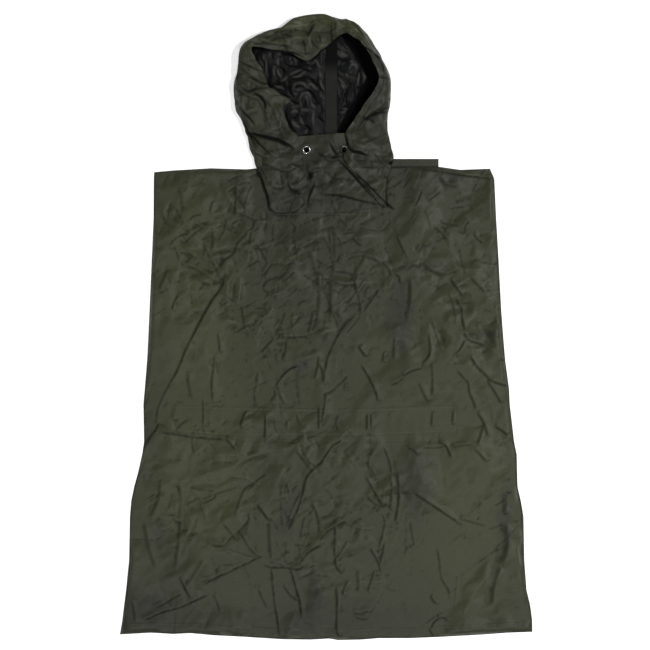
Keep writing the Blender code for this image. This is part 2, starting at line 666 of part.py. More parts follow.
def build_seam_tape():
    low, high = TAPE_ENDS
    half = TAPE_WIDTH / 2
    outline = np.array([
        (SEAM_X - half, low), (SEAM_X + half, low), (SEAM_X + half, high - TAPE_CORNER),
        (SEAM_X + half - TAPE_CORNER, high), (SEAM_X - half + TAPE_CORNER, high),
        (SEAM_X - half, high - TAPE_CORNER),
    ])
    flat, triangles = triangulate(outline, np.empty((0, 2)))
    base = np.full(len(flat), CLOTH + GAP)
    sheet_object("hood_seam_tape", flat, triangles, base + TAPE_THICKNESS, base, "cloth_inside")


def build_eyelet(name, x, y, cloth_top):
    # Turned ring: rolled flange above the cloth, barrel through it, flat washer below it.
    under = -CLOTH - GAP
    profile = np.array([  # radius, height over the cloth
        (EYELET_HOLE, under - 1.0), (EYELET_HOLE, 1.0), (EYELET_HOLE + 0.9, 1.6),
        (EYELET_FLANGE - 2.2, 1.5), (EYELET_FLANGE - 0.4, 0.9), (EYELET_FLANGE, GAP),
        (EYELET_BARREL, GAP), (EYELET_BARREL, under), (EYELET_WASHER, under),
        (EYELET_WASHER, under - 0.7), (EYELET_HOLE + 0.6, under - 1.3),
    ])
    angle = np.linspace(0, math.tau, SEGMENTS, endpoint=False)
    ring = np.stack([
        np.outer(np.cos(angle), profile[:, 0]), np.outer(np.sin(angle), profile[:, 0]),
        np.outer(np.ones(SEGMENTS), profile[:, 1]),
    ], axis=-1)
    points = len(profile)
    faces = []
    for i in range(SEGMENTS):
        for j in range(points):
            a = i * points + j
            b = i * points + (j + 1) % points
            shift = ((i + 1) % SEGMENTS - i) * points
            faces.append((a, b, b + shift, a + shift))
    made = make_object(name, ring.reshape(-1, 3), faces, "metal")
    made.location = (x * MM, y * MM, cloth_top * MM)
    made.data.shade_smooth()
    made.data.set_sharp_from_angle(angle=math.radians(40))


def main():
    for old in list(bpy.data.objects):
        bpy.data.objects.remove(old, do_unlink=True)
    build_body()
    left_edge = build_hood_half("hood_left", HOOD_LEFT, -GAP / 2)
    right_edge = build_hood_half("hood_right", HOOD_RIGHT, GAP / 2)
    eyelet_heights = build_throat(left_edge, right_edge)
    build_seam_tape()
    for name, x, y in EYELETS:
        build_eyelet(name, x, y, eyelet_heights[name])


main()
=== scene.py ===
# A pull-over rain poncho of coated nylon, laid out flat with its front up and its hood spread open.
# Tables are in millimetres, meshes in metres: X across the body, Y up to the crown, Z up.
import math

import bpy
import numpy as np
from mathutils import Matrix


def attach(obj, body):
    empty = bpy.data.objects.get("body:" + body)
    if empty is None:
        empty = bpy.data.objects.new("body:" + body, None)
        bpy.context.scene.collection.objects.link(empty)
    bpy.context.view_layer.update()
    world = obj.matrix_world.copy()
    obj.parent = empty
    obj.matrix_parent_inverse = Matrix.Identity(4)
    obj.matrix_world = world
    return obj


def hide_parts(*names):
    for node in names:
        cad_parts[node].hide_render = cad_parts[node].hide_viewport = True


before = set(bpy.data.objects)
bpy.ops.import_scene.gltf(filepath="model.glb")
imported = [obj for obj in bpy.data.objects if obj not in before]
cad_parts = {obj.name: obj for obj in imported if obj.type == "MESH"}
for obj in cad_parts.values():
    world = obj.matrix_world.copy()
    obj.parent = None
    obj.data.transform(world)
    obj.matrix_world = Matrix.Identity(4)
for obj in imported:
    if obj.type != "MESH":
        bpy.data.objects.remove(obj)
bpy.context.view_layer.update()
mm = 0.001

garment = {
    "cloth": 1.0,  # wall of one layer
    "frontLow": 2.7,  # lowest top of the front, which lies on the back
    "underLow": 1.35,  # lowest underside of the front
    "frontInset": 1.5,  # the front stops short of the back's edge
    "seamGap": 0.15,  # half the clearance between the front's two parts
    "spacing": 2.5,  # grid of the front
    "block": 4,  # the underside's grid is this many times coarser
    "edgeRoll": 12.0,  # the front rolls down over this width at its free edges
    "restRise": 3.0,  # mean height of the front over its lowest, which its facets need
    "highest": 13.0,  # top of the front
    "hemDepth": 25.0,
    "hemStep": 0.9,
    "hemSlope": 3.0,
    "hemTone": 0.35,  # the turned hem is greyer and darker
    "width": 900.0,  # of a whole panel, for its grid
    "notchLeft": -120.0,  # square neck cut-out
    "notchRight": 131.0,
    "notchBottom": 262.0,
    "notchSpans": (276, 251, 262),  # widths left of it, across it and right of it, for the grid
    "notchLevels": (515, 102),  # heights below it and beside it
    "coveredBox": (-160, 158, 246),  # left, right and lower edge of what hood and throat panel cover
    "coveredFade": (4, 46),
    "coveredRise": 2.3,  # most that the front may rise under them
    "coveredShare": 0.6,
}

# side edges: y, left, right, and how far the back peeks out past the front there
sideEdges = [
    (364, -395, 377, 0, 0), (341, -396, 387, 0, 0), (253, -396.5, 391, 0, 0), (161, -400.5, 396.5, 0, 1),
    (37, -406, 403, 0, 0), (-28, -409, 408, 0, 2), (-76, -411.5, 412, 0, 0), (-143, -417, 421, 0, 1),
    (-177, -420, 422.5, 0, 0), (-264, -418.5, 432.5, 0, 0), (-293, -423, 438.5, 1, 0),
    (-333, -432, 439.5, 0, 2), (-368, -441.5, 440.5, 0, 0), (-400, -448, 448, 0, 0), (-435, -451, 454, 0, 2),
    (-536, -453, 456, 0, 2), (-605, -460, 461, 1, 0), (-640, -464.5, 469.5, 2, 0), (-674, -468.5, 474, 5, 1),
    (-710, -474.5, 474.5, 8, 1),
]
shoulderLine = [
    (-395, 356), (-351, 360), (-265, 365), (-184, 362.5), (-159, 365), (259, 368.5), (308, 361.5), (377, 364),
]
waistSeam = [
    (-480, -236), (-384, -238), (-309, -248), (-223, -256), (-190, -263), (0, -267), (300, -264), (480, -262),
]
hemLine = [
    (-474.5, -707), (-403, -703), (-352, -706), (-311, -704), (-258, -709), (-196, -712), (-101, -718),
    (-37, -719), (9, -716.5), (27, -720), (78, -719), (122, -715.5), (195, -715.5), (276, -712),
    (356, -707.5), (418, -703), (474.5, -701),
]

# the noises repeat after so many cells; the pieces' tables give each its size and seed
noise = {"cells": 256, "startU": 64.3, "startV": 61.7}


def smoothStep(low, high, value):
    # 3t^2 - 2t^3 with t running from 0 at low to 1 at high
    t = np.clip((value - low) / (high - low), 0, 1)
    return t * t * (3 - 2 * t)


def readRows(rows, position):
    # Catmull-Rom curve through the rows of a table, read at fractional row numbers
    table = np.array(rows, dtype=float)
    row = np.clip(np.floor(position).astype(int), 0, len(table) - 2)
    t = (position - row)[:, None]
    before, start = table[np.maximum(row - 1, 0)], table[row]
    end, after = table[row + 1], table[np.minimum(row + 2, len(table) - 1)]
    square = 2 * before - 5 * start + 4 * end - after
    cube = 3 * (start - end) + after - before
    return start + 0.5 * t * (end - before + t * (square + t * cube))


def straightRows(rows, position):
    # straight lines through the rows of a table, read at fractional row numbers
    table = np.array(rows, dtype=float)
    return np.column_stack([np.interp(position, np.arange(len(table)), column) for column in table.T])


def lineAt(line, x, column=1):
    # straight lines through a table's column, read at x
    return np.interp(x, [point[0] for point in line], [point[column] for point in line])


def sideAt(y, side, inset):
    # x of a side edge; the front's own edge stands in by its inset and by the back's peek
    column = 1 if side == "left" else 2
    edge, peek = (lineAt(sideEdges[::-1], y, number) for number in (column, column + 2))
    step = inset + (peek if inset else 0)
    return edge + step if side == "left" else edge - step


def edgeDistance(x, y):
    # distance to the nearest of the front's free edges, above 0 inside
    inset = garment["frontInset"]
    away = np.minimum(x - sideAt(y, "left", inset), sideAt(y, "right", inset) - x)
    away = np.minimum(away, y - lineAt(hemLine, x) - inset)
    return np.minimum(away, lineAt(shoulderLine, x) - inset - y)


def hemAt(x, y, slope):
    # 0 above the turned hem, 1 on it
    return smoothStep(0, slope, lineAt(hemLine, x) + garment["hemDepth"] - y)


def latticeNoise(x, y, size, seed):
    # gradient noise: the four corners' g . d, blended by 6t^5 - 15t^4 + 10t^3; about -1..1
    cells = noise["cells"]
    angle = np.random.default_rng(seed).uniform(0, math.tau, (cells, cells))
    gx, gy = np.cos(angle), np.sin(angle)
    u, v = x / size + noise["startU"], y / size + noise["startV"]
    i, j = np.floor(u).astype(int), np.floor(v).astype(int)
    fu, fv = u - i, v - j
    wu = fu ** 3 * (fu * (6 * fu - 15) + 10)
    wv = fv ** 3 * (fv * (6 * fv - 15) + 10)

    def corner(di, dj):
        a, b = (i + di) % cells, (j + dj) % cells
        return gx[a, b] * (fu - di) + gy[a, b] * (fv - dj)

    low = corner(0, 0) * (1 - wu) + corner(1, 0) * wu
    high = corner(0, 1) * (1 - wu) + corner(1, 1) * wu
    return 1.5 * (low * (1 - wv) + high * wv)


def facetNoise(u, v, seed):
    # random heights -1..1 at the corners of a grid of triangles, joined by flat faces
    cells = noise["cells"]
    height = np.random.default_rng(seed).uniform(-1, 1, (cells, cells))
    i, j = np.floor(u).astype(int), np.floor(v).astype(int)
    fu, fv = u - i, v - j
    i, j = i % cells, j % cells
    nextI, nextJ = (i + 1) % cells, (j + 1) % cells
    a, b, c, d = height[i, j], height[nextI, j], height[i, nextJ], height[nextI, nextJ]
    low = a + fu * (b - a) + fv * (c - a)
    high = d + (1 - fu) * (c - d) + (1 - fv) * (b - d)
    return np.where(fu + fv < 1, low, high)


def turnedGrid(x, y, length, width, heading):
    # x, y turned by the heading and counted in cells of length by width
    angle = math.radians(heading)
    u = (x * math.cos(angle) + y * math.sin(angle)) / length + noise["startU"]
    v = (y * math.cos(angle) - x * math.sin(angle)) / width + noise["startV"]
    return u, v


# one map of the whole garment's relief, seen from above, that all its pieces read
reliefMap = {"left": -520.0, "bottom": -750.0, "right": 520.0, "top": 750.0, "step": 1.5}

# creases: rise, gentle width on the left of the run, steep width on its right, shade, then points x, y
creases = [
    (3.2, 20, 5, 0.6, -129, 262, -134, 245, -145, 243, -161, 239, -166, 225, -178, 218, -182, 209, -198, 193,
     -203, 184, -207, 172, -216, 161, -230, 152, -237, 138, -234, 120),
    (4.2, 24, 4, 1, -233, 116, -237, 92, -258, 62, -276, 32, -302, -18, -310, -35),
    (3.4, 22, 3, 0.85, -302, -18, -320, -53, -338, -97, -366, -148, -384, -189, -389, -228),
    (3.4, 20, 4, 1, -382, -223, -389, -237, -412, -271, -428, -308, -442, -347),
    (3.4, 14, 4, 1, -389, -237, -326, -247, -277, -253, -224, -256),
    (2.6, 10, 4, 0.8, -230, -253, -206, -281), (2.2, 18, 8, 0.7, 18, 237, 23, 200, 22, 143, 14, 85, 14, -5),
    (1.8, 12, 4, 0.6, 9, 232, 14, 177, 16, 150),
    (2.4, 16, 9, 0.5, -35, 186, -28, 159, -14, 108, -12, 62, -21, -9),
    (2.8, 14, 4, 1, -28, 37, -32, 12, -39, -18), (2.4, 12, 4, 0.9, -101, -21, -69, -21, -39, -18),
    (2.4, 14, 4, 0.9, -88, -32, -92, -57, -99, -76), (3, 16, 4, 1, -62, -92, -81, -99, -99, -115, -115, -140),
    (1.8, 12, 5, 0.6, -115, -140, -115, -159, -127, -175),
    (1.8, 12, 6, 0.6, -106, -150, -97, -166, -92, -177), (1.8, 14, 9, 0.5, -60, -99, -60, -133, -55, -177),
    (2.6, 16, 3, 1, 124, 87, 106, 60, 86, 30),
    (3.2, 18, 3, 1, 69, 23, 50, 7, 34, -12, 16, -48, 4, -76, -3, -124),
    (3.4, 24, 10, 0.7, 195, 115, 198, 85, 195, 51, 188, 7),
    (2, 14, 5, 0.7, -12, -154, 9, -145, 34, -124, 48, -108), (2, 10, 3, 0.8, 2, -150, -3, -191, -9, -225),
    (1.6, 10, 3, 0.7, 46, -131, 43, -145), (3, 16, 3, 1, 76, -44, 92, -67),
    (2.8, 16, 3, 1, 80, -83, 101, -117, 115, -147, 122, -172), (2.2, 14, 4, 0.8, 135, -57, 133, -80),
    (2.2, 12, 6, 0.6, 161, -21, 158, -76), (2.6, 14, 3, 1, 237, -14, 241, -46, 237, -69, 221, -87),
    (2.2, 14, 4, 0.9, 177, -110, 195, -99, 221, -92), (1.8, 12, 4, 0.7, 147, -131, 165, -124, 177, -113),
    (2, 14, 5, 0.7, 246, -80, 248, -122, 246, -161), (2.2, 14, 4, 0.8, 215, -126, 227, -154, 237, -172),
    (2.6, 14, 3, 1, 286, 113, 301, 92, 315, 71), (2.8, 14, 3, 1, 297, 71, 313, 44, 315, 16, 322, -12),
    (2.6, 12, 4, 0.9, 317, -9, 331, -28, 349, -34, 368, -41), (2.2, 12, 4, 0.8, 322, -30, 310, -53, 299, -64),
    (3, 16, 4, 1, 332, -62, 345, -85, 363, -103, 377, -117),
    (2.6, 14, 4, 0.9, 372, -117, 393, -126, 418, -133), (2.4, 14, 4, 0.8, 372, -122, 391, -150, 405, -175),
    (2.6, 16, 5, 0.8, 299, -90, 314, -110, 329, -126, 332, -148, 342, -172, 349, -195),
    (2.6, 14, 4, 0.9, 349, -195, 363, -216, 375, -251), (2.4, 12, 4, 0.8, 388, -225, 407, -237, 418, -246),
    (2, 10, 4, 0.7, 365, -225, 354, -260, 349, -269), (2.6, 12, 3, 1, 260, -264, 276, -271, 290, -301),
    (2, 12, 5, 0.6, 218, -274, 253, -274, 276, -269), (2, 12, 4, 0.6, 290, -274, 313, -269, 336, -267),
    (2.2, 12, 4, 0.8, 188, -274, 202, -281, 214, -294), (2.4, 12, 5, 0.7, 342, -276, 359, -294, 372, -308),
    (3.4, 16, 3, 1, 41, -262, 23, -271, 4, -292, -9, -313, -23, -324),
    (3.4, 18, 4, 1, -16, -315, -32, -334, -43, -349, -52, -385, -61, -416, -77, -453, -86, -478),
    (2.2, 10, 4, 0.8, -71, -278, -49, -305, -34, -327), (1.8, 10, 4, 0.6, -55, -278, -39, -306, -30, -329),
    (2.6, 14, 4, 0.9, -157, -407, -143, -425, -129, -444),
    (2.8, 14, 8, 0.8, -127, -444, -126, -490, -122, -536),
    (2.8, 18, 3, 1, -124, -550, -119, -605, -112, -660, -104, -713),
    (3, 16, 3, 1, -288, -592, -233, -565, -199, -549, -147, -524),
    (1.8, 8, 3, 0.7, -290, -584, -260, -575, -230, -561),
    (2.8, 16, 3, 1, -426, -675, -375, -653, -338, -643, -267, -611),
    (2.6, 12, 3, 0.9, -395, -646, -366, -630, -331, -609),
    (2.2, 10, 3, 0.9, -334, -573, -322, -600, -309, -623),
    (2, 10, 3, 0.8, -269, -497, -239, -501, -221, -483, -182, -446, -184, -430),
    (2.6, 10, 4, 1, -143, -542, -124, -550, -95, -550, -65, -554, -51, -545),
    (2.6, 12, 4, 1, -67, -547, -53, -527, -35, -511, -11, -498),
    (2.6, 14, 4, 0.9, -19, -492, -3, -471, 18, -458, 46, -442),
    (2.4, 12, 4, 1, -81, -550, -74, -575, -68, -596, -58, -632, -53, -676),
    (1.8, 10, 4, 0.8, -97, -591, -81, -614, -62, -628), (2, 12, 5, 0.6, -154, -596, -143, -623, -131, -646),
    (2, 12, 6, 0.6, -256, -610, -246, -635, -239, -656),
    (3, 16, 3, 1, 200, -376, 231, -398, 271, -425, 317, -456),
    (1.6, 10, 3, 0.6, 308, -438, 336, -446, 369, -455),
    (2.6, 14, 3, 0.85, 91, -339, 106, -366, 123, -395, 133, -412),
    (2, 10, 4, 0.6, 94, -384, 110, -402, 135, -412), (2.8, 14, 4, 0.9, 165, -330, 170, -391, 160, -453),
    (2.2, 12, 5, 0.7, 149, -338, 154, -375, 149, -425),
    (2.6, 14, 4, 0.75, 129, -423, 138, -444, 135, -467, 122, -515),
    (2.2, 10, 4, 0.9, 103, -508, 119, -534, 129, -564), (2, 10, 4, 0.75, 138, -494, 131, -527, 124, -554),
    (2, 10, 4, 0.7, 115, -559, 103, -593, 99, -610), (2.4, 14, 6, 0.8, 25, -444, 23, -501, 23, -527),
    (2.4, 10, 3, 0.9, 23, -527, 25, -550, 38, -565),
    (2.6, 12, 3, 0.9, 25, -592, 28, -646, 26, -693, 33, -713),
    (2.2, 12, 7, 0.7, 75, -565, 78, -586, 78, -610), (2, 10, 4, 0.7, 53, -582, 43, -605, 41, -619),
    (2, 10, 4, 0.9, 242, -616, 248, -628, 257, -636), (2.2, 10, 3, 1, 239, -693, 246, -678, 259, -668),
    (2, 8, 3, 0.9, 239, -693, 246, -706, 250, -715), (1.8, 8, 3, 0.7, 259, -667, 273, -667, 283, -676),
    (2.6, 18, 12, 0.6, 418, -379, 416, -412, 414, -430),
    (3, 20, 14, 0.7, 411, -444, 421, -478, 418, -518, 407, -550),
    (2.4, 16, 10, 0.7, 405, -550, 395, -577, 388, -605, 384, -642),
    (2, 12, 5, 0.7, 257, -499, 264, -536, 269, -577, 285, -605, 287, -628),
    (1.8, 12, 6, 0.5, 198, -444, 202, -478, 209, -508),
    (2, 12, 5, 0.4, 60, -652, 78, -656, 92, -650, 104, -655), (1.8, 8, 4, 0.6, 68, -663, 84, -669, 94, -667),
    (2, 14, 8, 0.5, -336, -356, -329, -398, -334, -444),
    (2.4, 16, 9, 0.6, -377, -347, -382, -398, -403, -444),
    (2.4, 18, 10, 0.6, -414, -444, -405, -501, -387, -554),
    (2.2, 14, 8, 0.6, -331, -444, -336, -501, -345, -559),
    (2, 14, 9, 0.5, -279, -536, -299, -570, -325, -605), (2, 12, 6, 0.6, -444, -623, -437, -656, -435, -678),
    (2.2, 10, 3, 0.9, -288, -405, -260, -393, -258, -384),
    (1.6, 10, 4, 0.7, -350, -444, -336, -446, -329, -453),
    (2.2, 12, 5, 0.6, -237, -446, -219, -467, -203, -490),
    (2, 12, 5, 0.6, -170, -366, -187, -379, -198, -407, -207, -435),
    (2.2, 10, 3, 0.8, -136, -340, -157, -356, -180, -379), (2.2, 14, 6, 0.6, -51, -375, -69, -409, -83, -444),
    (2, 12, 6, 0.6, -32, -398, -16, -435, -12, -471),
    (1.8, 12, 6, 0.5, -83, -343, -99, -375, -99, -421, -95, -467),
    (2, 10, 4, 0.8, -203, -458, -177, -501, -164, -518, -143, -529),
    (2, 12, 4, 0.7, 135, -274, 147, -306, 154, -338), (2, 10, 3, 0.8, 96, -315, 108, -331, 115, -350),
    (2.4, 12, 4, 0.8, -206, 330, -205, 299, -207, 253), (2, 10, 3, 0.8, -203, 297, -191, 283, -184, 271),
    (2.6, 12, 3, 1, -329, 193, -306, 214, -281, 233), (2, 10, 4, 0.7, -318, 246, -304, 258, -285, 262),
    (2.2, 14, 6, 0.7, -361, 129, -375, 97, -380, 80), (2, 10, 3, 0.8, -338, 71, -348, 53, -352, 37),
    (2.6, 12, 3, 1, -161, 192, -147, 175, -132, 145), (2.2, 10, 4, 0.8, -147, 120, -134, 136, -124, 150),
    (2.4, 10, 4, 0.9, -53, 184, -37, 193, -26, 200), (2.2, 10, 4, 0.9, -78, 168, -69, 177, -62, 186),
    (2.2, 10, 4, 0.8, -108, 193, -95, 209, -85, 216), (1.8, 10, 4, 0.7, -83, 246, -67, 230, -74, 214),
    (2.2, 12, 3, 0.8, -99, 106, -83, 120, -74, 129), (2, 10, 3, 0.7, -175, 143, -161, 152, -157, 156),
    (1.8, 8, 3, 0.7, -242, 103, -258, 133, -265, 150), (2, 14, 5, 0.6, -260, 232, -256, 200, -262, 172),
    (2.2, 14, 6, 0.6, -299, 117, -276, 103, -258, 99), (1.8, 12, 5, 0.6, -329, 140, -311, 150, -297, 166),
    (2.2, 16, 9, 0.5, -377, 274, -359, 241, -334, 232), (2, 16, 8, 0.5, -336, 320, -327, 299, -329, 276),
    (2.4, 14, 5, 0.7, -233, 308, -216, 322, -191, 334, -170, 336),
    (2.2, 10, 4, 0.7, -226, 336, -212, 345, -193, 352), (1.8, 10, 4, 0.6, -258, 288, -262, 274, -265, 260),
    (2, 12, 5, 0.6, -226, 251, -230, 223, -244, 200), (1.8, 10, 4, 0.6, -191, 241, -203, 241, -216, 232),
    (2, 12, 4, 0.7, -210, -12, -191, 2, -170, 9), (1.8, 10, 3, 0.6, -150, -53, -136, -37, -124, -25),
    (2, 12, 5, 0.7, -246, -12, -242, -41, -242, -57),
    (2.4, 14, 5, 0.7, -253, -62, -256, -99, -260, -133, -256, -179),
    (2.2, 14, 6, 0.7, -154, -99, -157, -133, -161, -156, -157, -177), (1.8, 12, 5, 0.6, -111, -57, -111, -80),
    (2.2, 12, 8, 0.6, -315, -103, -311, -133, -302, -168),
    (2, 14, 8, 0.6, -341, -172, -345, -191, -350, -214), (2.2, 10, 3, 0.8, -14, -64, -19, -99, -26, -122),
    (2.2, 14, 4, 0.8, -16, -80, -5, -103, -3, -133), (2.4, 12, 4, 1, 175, 320, 186, 336, 195, 350),
    (2.4, 12, 4, 1, 202, 278, 211, 297, 218, 315), (2, 12, 5, 0.6, 232, 292, 248, 304, 262, 315),
    (2, 10, 3, 0.7, 193, 237, 204, 251, 211, 262), (2.4, 12, 3, 0.8, 163, 212, 175, 186, 191, 156),
    (2, 10, 4, 0.8, 262, 244, 285, 239, 313, 235), (2, 10, 3, 0.8, 317, 216, 317, 232, 329, 248),
    (2, 10, 3, 0.8, 247, 233, 264, 221, 280, 200), (1.8, 8, 3, 0.7, 255, 198, 264, 205, 269, 209),
    (1.8, 8, 3, 0.8, 211, 168, 216, 182, 221, 193), (2.4, 14, 5, 0.7, 46, 159, 78, 168, 106, 161, 131, 150),
    (2.4, 12, 4, 0.8, 131, 150, 145, 136, 152, 117), (2, 12, 4, 0.8, 158, 124, 170, 117, 172, 101),
    (2.4, 12, 8, 0.7, 181, 133, 198, 147, 216, 140),
    (2.6, 14, 8, 0.7, 225, 150, 248, 131, 278, 126, 313, 140), (2.2, 14, 6, 0.6, 333, 120, 352, 99, 370, 80),
    (2, 12, 4, 0.7, 342, 218, 349, 205, 363, 195), (1.8, 12, 5, 0.6, 283, 274, 299, 278, 322, 281),
    (2.2, 16, 10, 0.5, 296, 294, 326, 304, 361, 317), (2, 10, 4, 0.8, 62, 209, 73, 195, 83, 191),
    (2, 10, 3, 0.7, 124, 221, 138, 232, 147, 246), (1.8, 8, 3, 0.7, 66, 214, 55, 214, 43, 212),
    (2.2, 12, 3, 0.7, 60, 126, 69, 97, 78, 67, 85, 25), (1.8, 10, 3, 0.7, 43, -14, 60, 5, 78, 28),
    (1.6, 10, 3, 0.7, 46, 44, 55, 53, 62, 57), (1.8, 12, 4, 0.7, 9, 46, 23, 21, 32, -2),
    (2, 12, 5, 0.6, -124, 67, -115, 85, -113, 113), (1.8, 10, 4, 0.6, -191, 55, -187, 16, -182, -7),
    (1.8, 10, 4, 0.6, -230, 41, -237, 55, -219, 60), (1.8, 10, 3, 0.6, -83, 2, -69, 16, -60, 39),
    (2.2, 12, 3, 0.9, -35, -9, -28, 7, -21, 30), (1.8, 10, 3, 0.7, -143, 78, -147, 97, -129, 115),
    (3.6, 9, 4, 1, 211, 367, 264, 360, 312, 352, 370, 345, 382, 343),
    (2.4, 12, 10, 0.7, 264, 350, 278, 331, 303, 329),
    (3.4, 12, 4, 1, -187, 446, -164, 442, -129, 432, -97, 428, -78, 414, -65, 412),
    (2.4, 14, 5, 0.7, -203, 458, -184, 430, -161, 402, -129, 389),
    (2.6, 12, 5, 0.8, -147, 382, -124, 370, -92, 361, -65, 370),
    (2.2, 12, 5, 0.7, -129, 331, -113, 320, -92, 329, -85, 356),
    (2.8, 10, 4, 1, -85, 356, -85, 334, -81, 320), (2.6, 10, 4, 0.9, -85, 320, -69, 310, -51, 308),
    (3.2, 10, 5, 1, -23, 354, -32, 347, -39, 338), (2.8, 12, 4, 1, -28, 324, -35, 304, -39, 281),
    (2, 14, 6, 0.6, -106, 285, -78, 297, -51, 306),
    (2.6, 10, 4, 0.9, -127, 262, -95, 260, -69, 269, -49, 292),
    (2.4, 12, 4, 0.9, -14, 304, 14, 306, 43, 304, 83, 292, 135, 281),
    (2.6, 12, 5, 0.9, 71, 340, 96, 324, 122, 317), (2.4, 12, 4, 0.9, 71, 352, 92, 329, 110, 301),
    (2.2, 10, 4, 0.8, 43, 407, 25, 393, 18, 384), (2.2, 10, 5, 0.8, -9, 396, 9, 384, 32, 389),
    (2, 10, 4, 0.7, 60, 407, 80, 402, 96, 396), (2, 10, 5, 0.7, -3, 361, -19, 361, -32, 356),
    (2.4, 14, 5, 0.8, 145, 444, 119, 430, 87, 419), (2.2, 12, 5, 0.7, 85, 476, 101, 494, 119, 504, 138, 527),
    (2, 12, 5, 0.6, 73, 451, 87, 471, 92, 485),
    (2.4, 14, 6, 0.8, -214, 564, -180, 534, -152, 522, -138, 488, -134, 453),
    (2.2, 12, 6, 0.7, -193, 600, -166, 577, -134, 557),
    (1.8, 12, 5, 0.6, -184, 573, -161, 559, -147, 554, -118, 557),
    (2.2, 12, 6, 0.6, -198, 529, -184, 488, -168, 453), (2, 10, 5, 0.6, -134, 522, -118, 499, -111, 471),
    (2.2, 10, 5, 0.6, -97, 494, -106, 465, -92, 430), (3, 14, 5, 0.8, -159, 660, -118, 651, -78, 646),
    (2.6, 12, 5, 0.7, -118, 672, -95, 669, -74, 667), (2.8, 12, 5, 0.8, -30, 695, -35, 676, -44, 667),
    (2.6, 10, 6, 0.8, -19, 665, -14, 646, -28, 651), (2.4, 10, 5, 0.7, -53, 656, -46, 642, -42, 628),
    (2.4, 12, 5, 0.6, 23, 702, 23, 683, 9, 674), (2, 10, 5, 0.6, 43, 669, 34, 660, 25, 651),
    (2, 12, 3, 0.8, -281, -163, -280, -200, -282, -228),
    (2.4, 12, 3, 0.9, -182, -193, -191, -214, -196, -230),
    (2.4, 10, 3, 1, -138, -198, -138, -230, -139, -258), (1.6, 8, 3, 0.7, -88, -214, -89, -237),
    (2, 12, 6, 0.6, -65, -198, -60, -216, -51, -225), (2.2, 14, 5, 0.7, -14, -179, -14, -239),
    (2, 8, 3, 0.8, 96, -198, 96, -239), (1.6, 8, 3, 0.6, 105, -198, 106, -239),
    (1.8, 8, 3, 0.7, 32, -202, 25, -221, 30, -237), (2, 10, 3, 0.8, 246, -195, 244, -230),
    (1.8, 10, 3, 0.7, 294, -191, 292, -223), (2, 10, 4, 0.7, -345, -228, -318, -209),
]

# deep lines of shade in tight folds and under edges: half width, then points x, y
deepLines = [
    (3.9, -177, 447, -152, 440, -125, 433, -107, 428, -92, 421, -76, 412),
    (2, -158, 366, -149, 343, -140, 318, -133, 292, -128, 266),
    (1.1, -127, 271, -118, 262, -95, 262, -72, 267), (2.7, 45, 445, 49, 423, 53, 412, 63, 403),
    (3.2, 50, 412, 63, 403, 78, 400, 94, 393), (2.1, 8, 423, 14, 412, 20, 402, 30, 393),
    (2.3, 27, 385, 41, 371, 55, 356, 70, 340, 87, 320, 106, 297),
    (1.6, 66, 356, 78, 345, 101, 322, 131, 292, 154, 273), (2.3, 133, 290, 145, 279, 156, 270),
    (1.2, -19, 308, 9, 304, 43, 299, 71, 292, 112, 285, 149, 276), (1.8, -88, 323, -76, 314, -60, 309),
    (3.9, -40, 356, -35, 347, -37, 338), (1.8, -27, 331, -32, 315, -42, 290),
    (4.8, 145, 377, 156, 377, 165, 381), (1.4, -81, 376, -69, 371, -58, 367),
    (2.1, 11, 389, 20, 389, 30, 391), (1.4, -19, 402, -9, 394, 4, 389),
    (2.8, -159, 536, -150, 527, -141, 515, -139, 501), (1.8, -193, 505, -184, 490, -172, 476, -163, 462),
    (2.7, -96, 513, -95, 499, -90, 483, -81, 462, -67, 444),
    (2.1, -166, 640, -129, 634, -95, 630, -72, 627, -53, 618), (2.4, 85, 477, 101, 483, 117, 490, 135, 494),
    (1.8, -193, 485, -184, 462, -175, 439, -161, 412), (1.4, -115, 432, -104, 423, -88, 412),
    (1.8, -184, 448, -170, 437, -147, 414, -124, 391), (1.6, 86, 641, 96, 637, 106, 632, 112, 626),
    (2.6, 111, 627, 118, 618, 124, 610), (1.8, 123, 611, 129, 598, 132, 583),
    (1.2, 121, 572, 131, 570, 142, 568), (2.3, 86, 484, 92, 478, 100, 476),
    (1.2, 92, 478, 83, 471, 76, 460, 71, 448), (1.4, 99, 476, 106, 473, 111, 467),
    (1.3, 139, 505, 129, 500, 119, 496), (1.6, 115, 494, 108, 488, 102, 486),
    (1.1, -198, 616, -189, 605, -175, 598, -161, 591, -147, 585),
    (1.3, -150, 588, -139, 577, -132, 564, -129, 550), (1.2, -183, 575, -170, 570, -159, 564, -152, 559),
    (1.5, -151, 559, -138, 558, -129, 554), (2, -175, 541, -166, 544, -158, 551),
    (1.1, -193, 552, -184, 543, -170, 541), (1.9, -166, 539, -158, 532, -149, 524, -143, 514),
    (1.1, -143, 514, -141, 499, -137, 481, -130, 460), (1.5, -201, 582, -200, 564),
    (1.6, -27, 697, -34, 683, -38, 674), (1.5, -37, 676, -43, 667), (1.1, -39, 700, -32, 702, -27, 705),
    (1.3, -107, 673, -92, 670, -75, 667), (1.1, -105, 677, -98, 681), (1.4, -17, 669, -14, 660, -13, 650),
    (1.2, -35, 662, -30, 649, -19, 639), (1.6, -54, 657, -46, 644), (1.2, -100, 651, -95, 644, -89, 640),
    (1.3, -52, 626, -42, 625), (1.3, 32, 663, 41, 672, 55, 675), (1.3, -143, 664, -134, 661),
    (1, -167, 650, -154, 647, -138, 652), (1.6, -74, 684, -69, 681), (1.1, 57, 702, 73, 685, 92, 667),
]
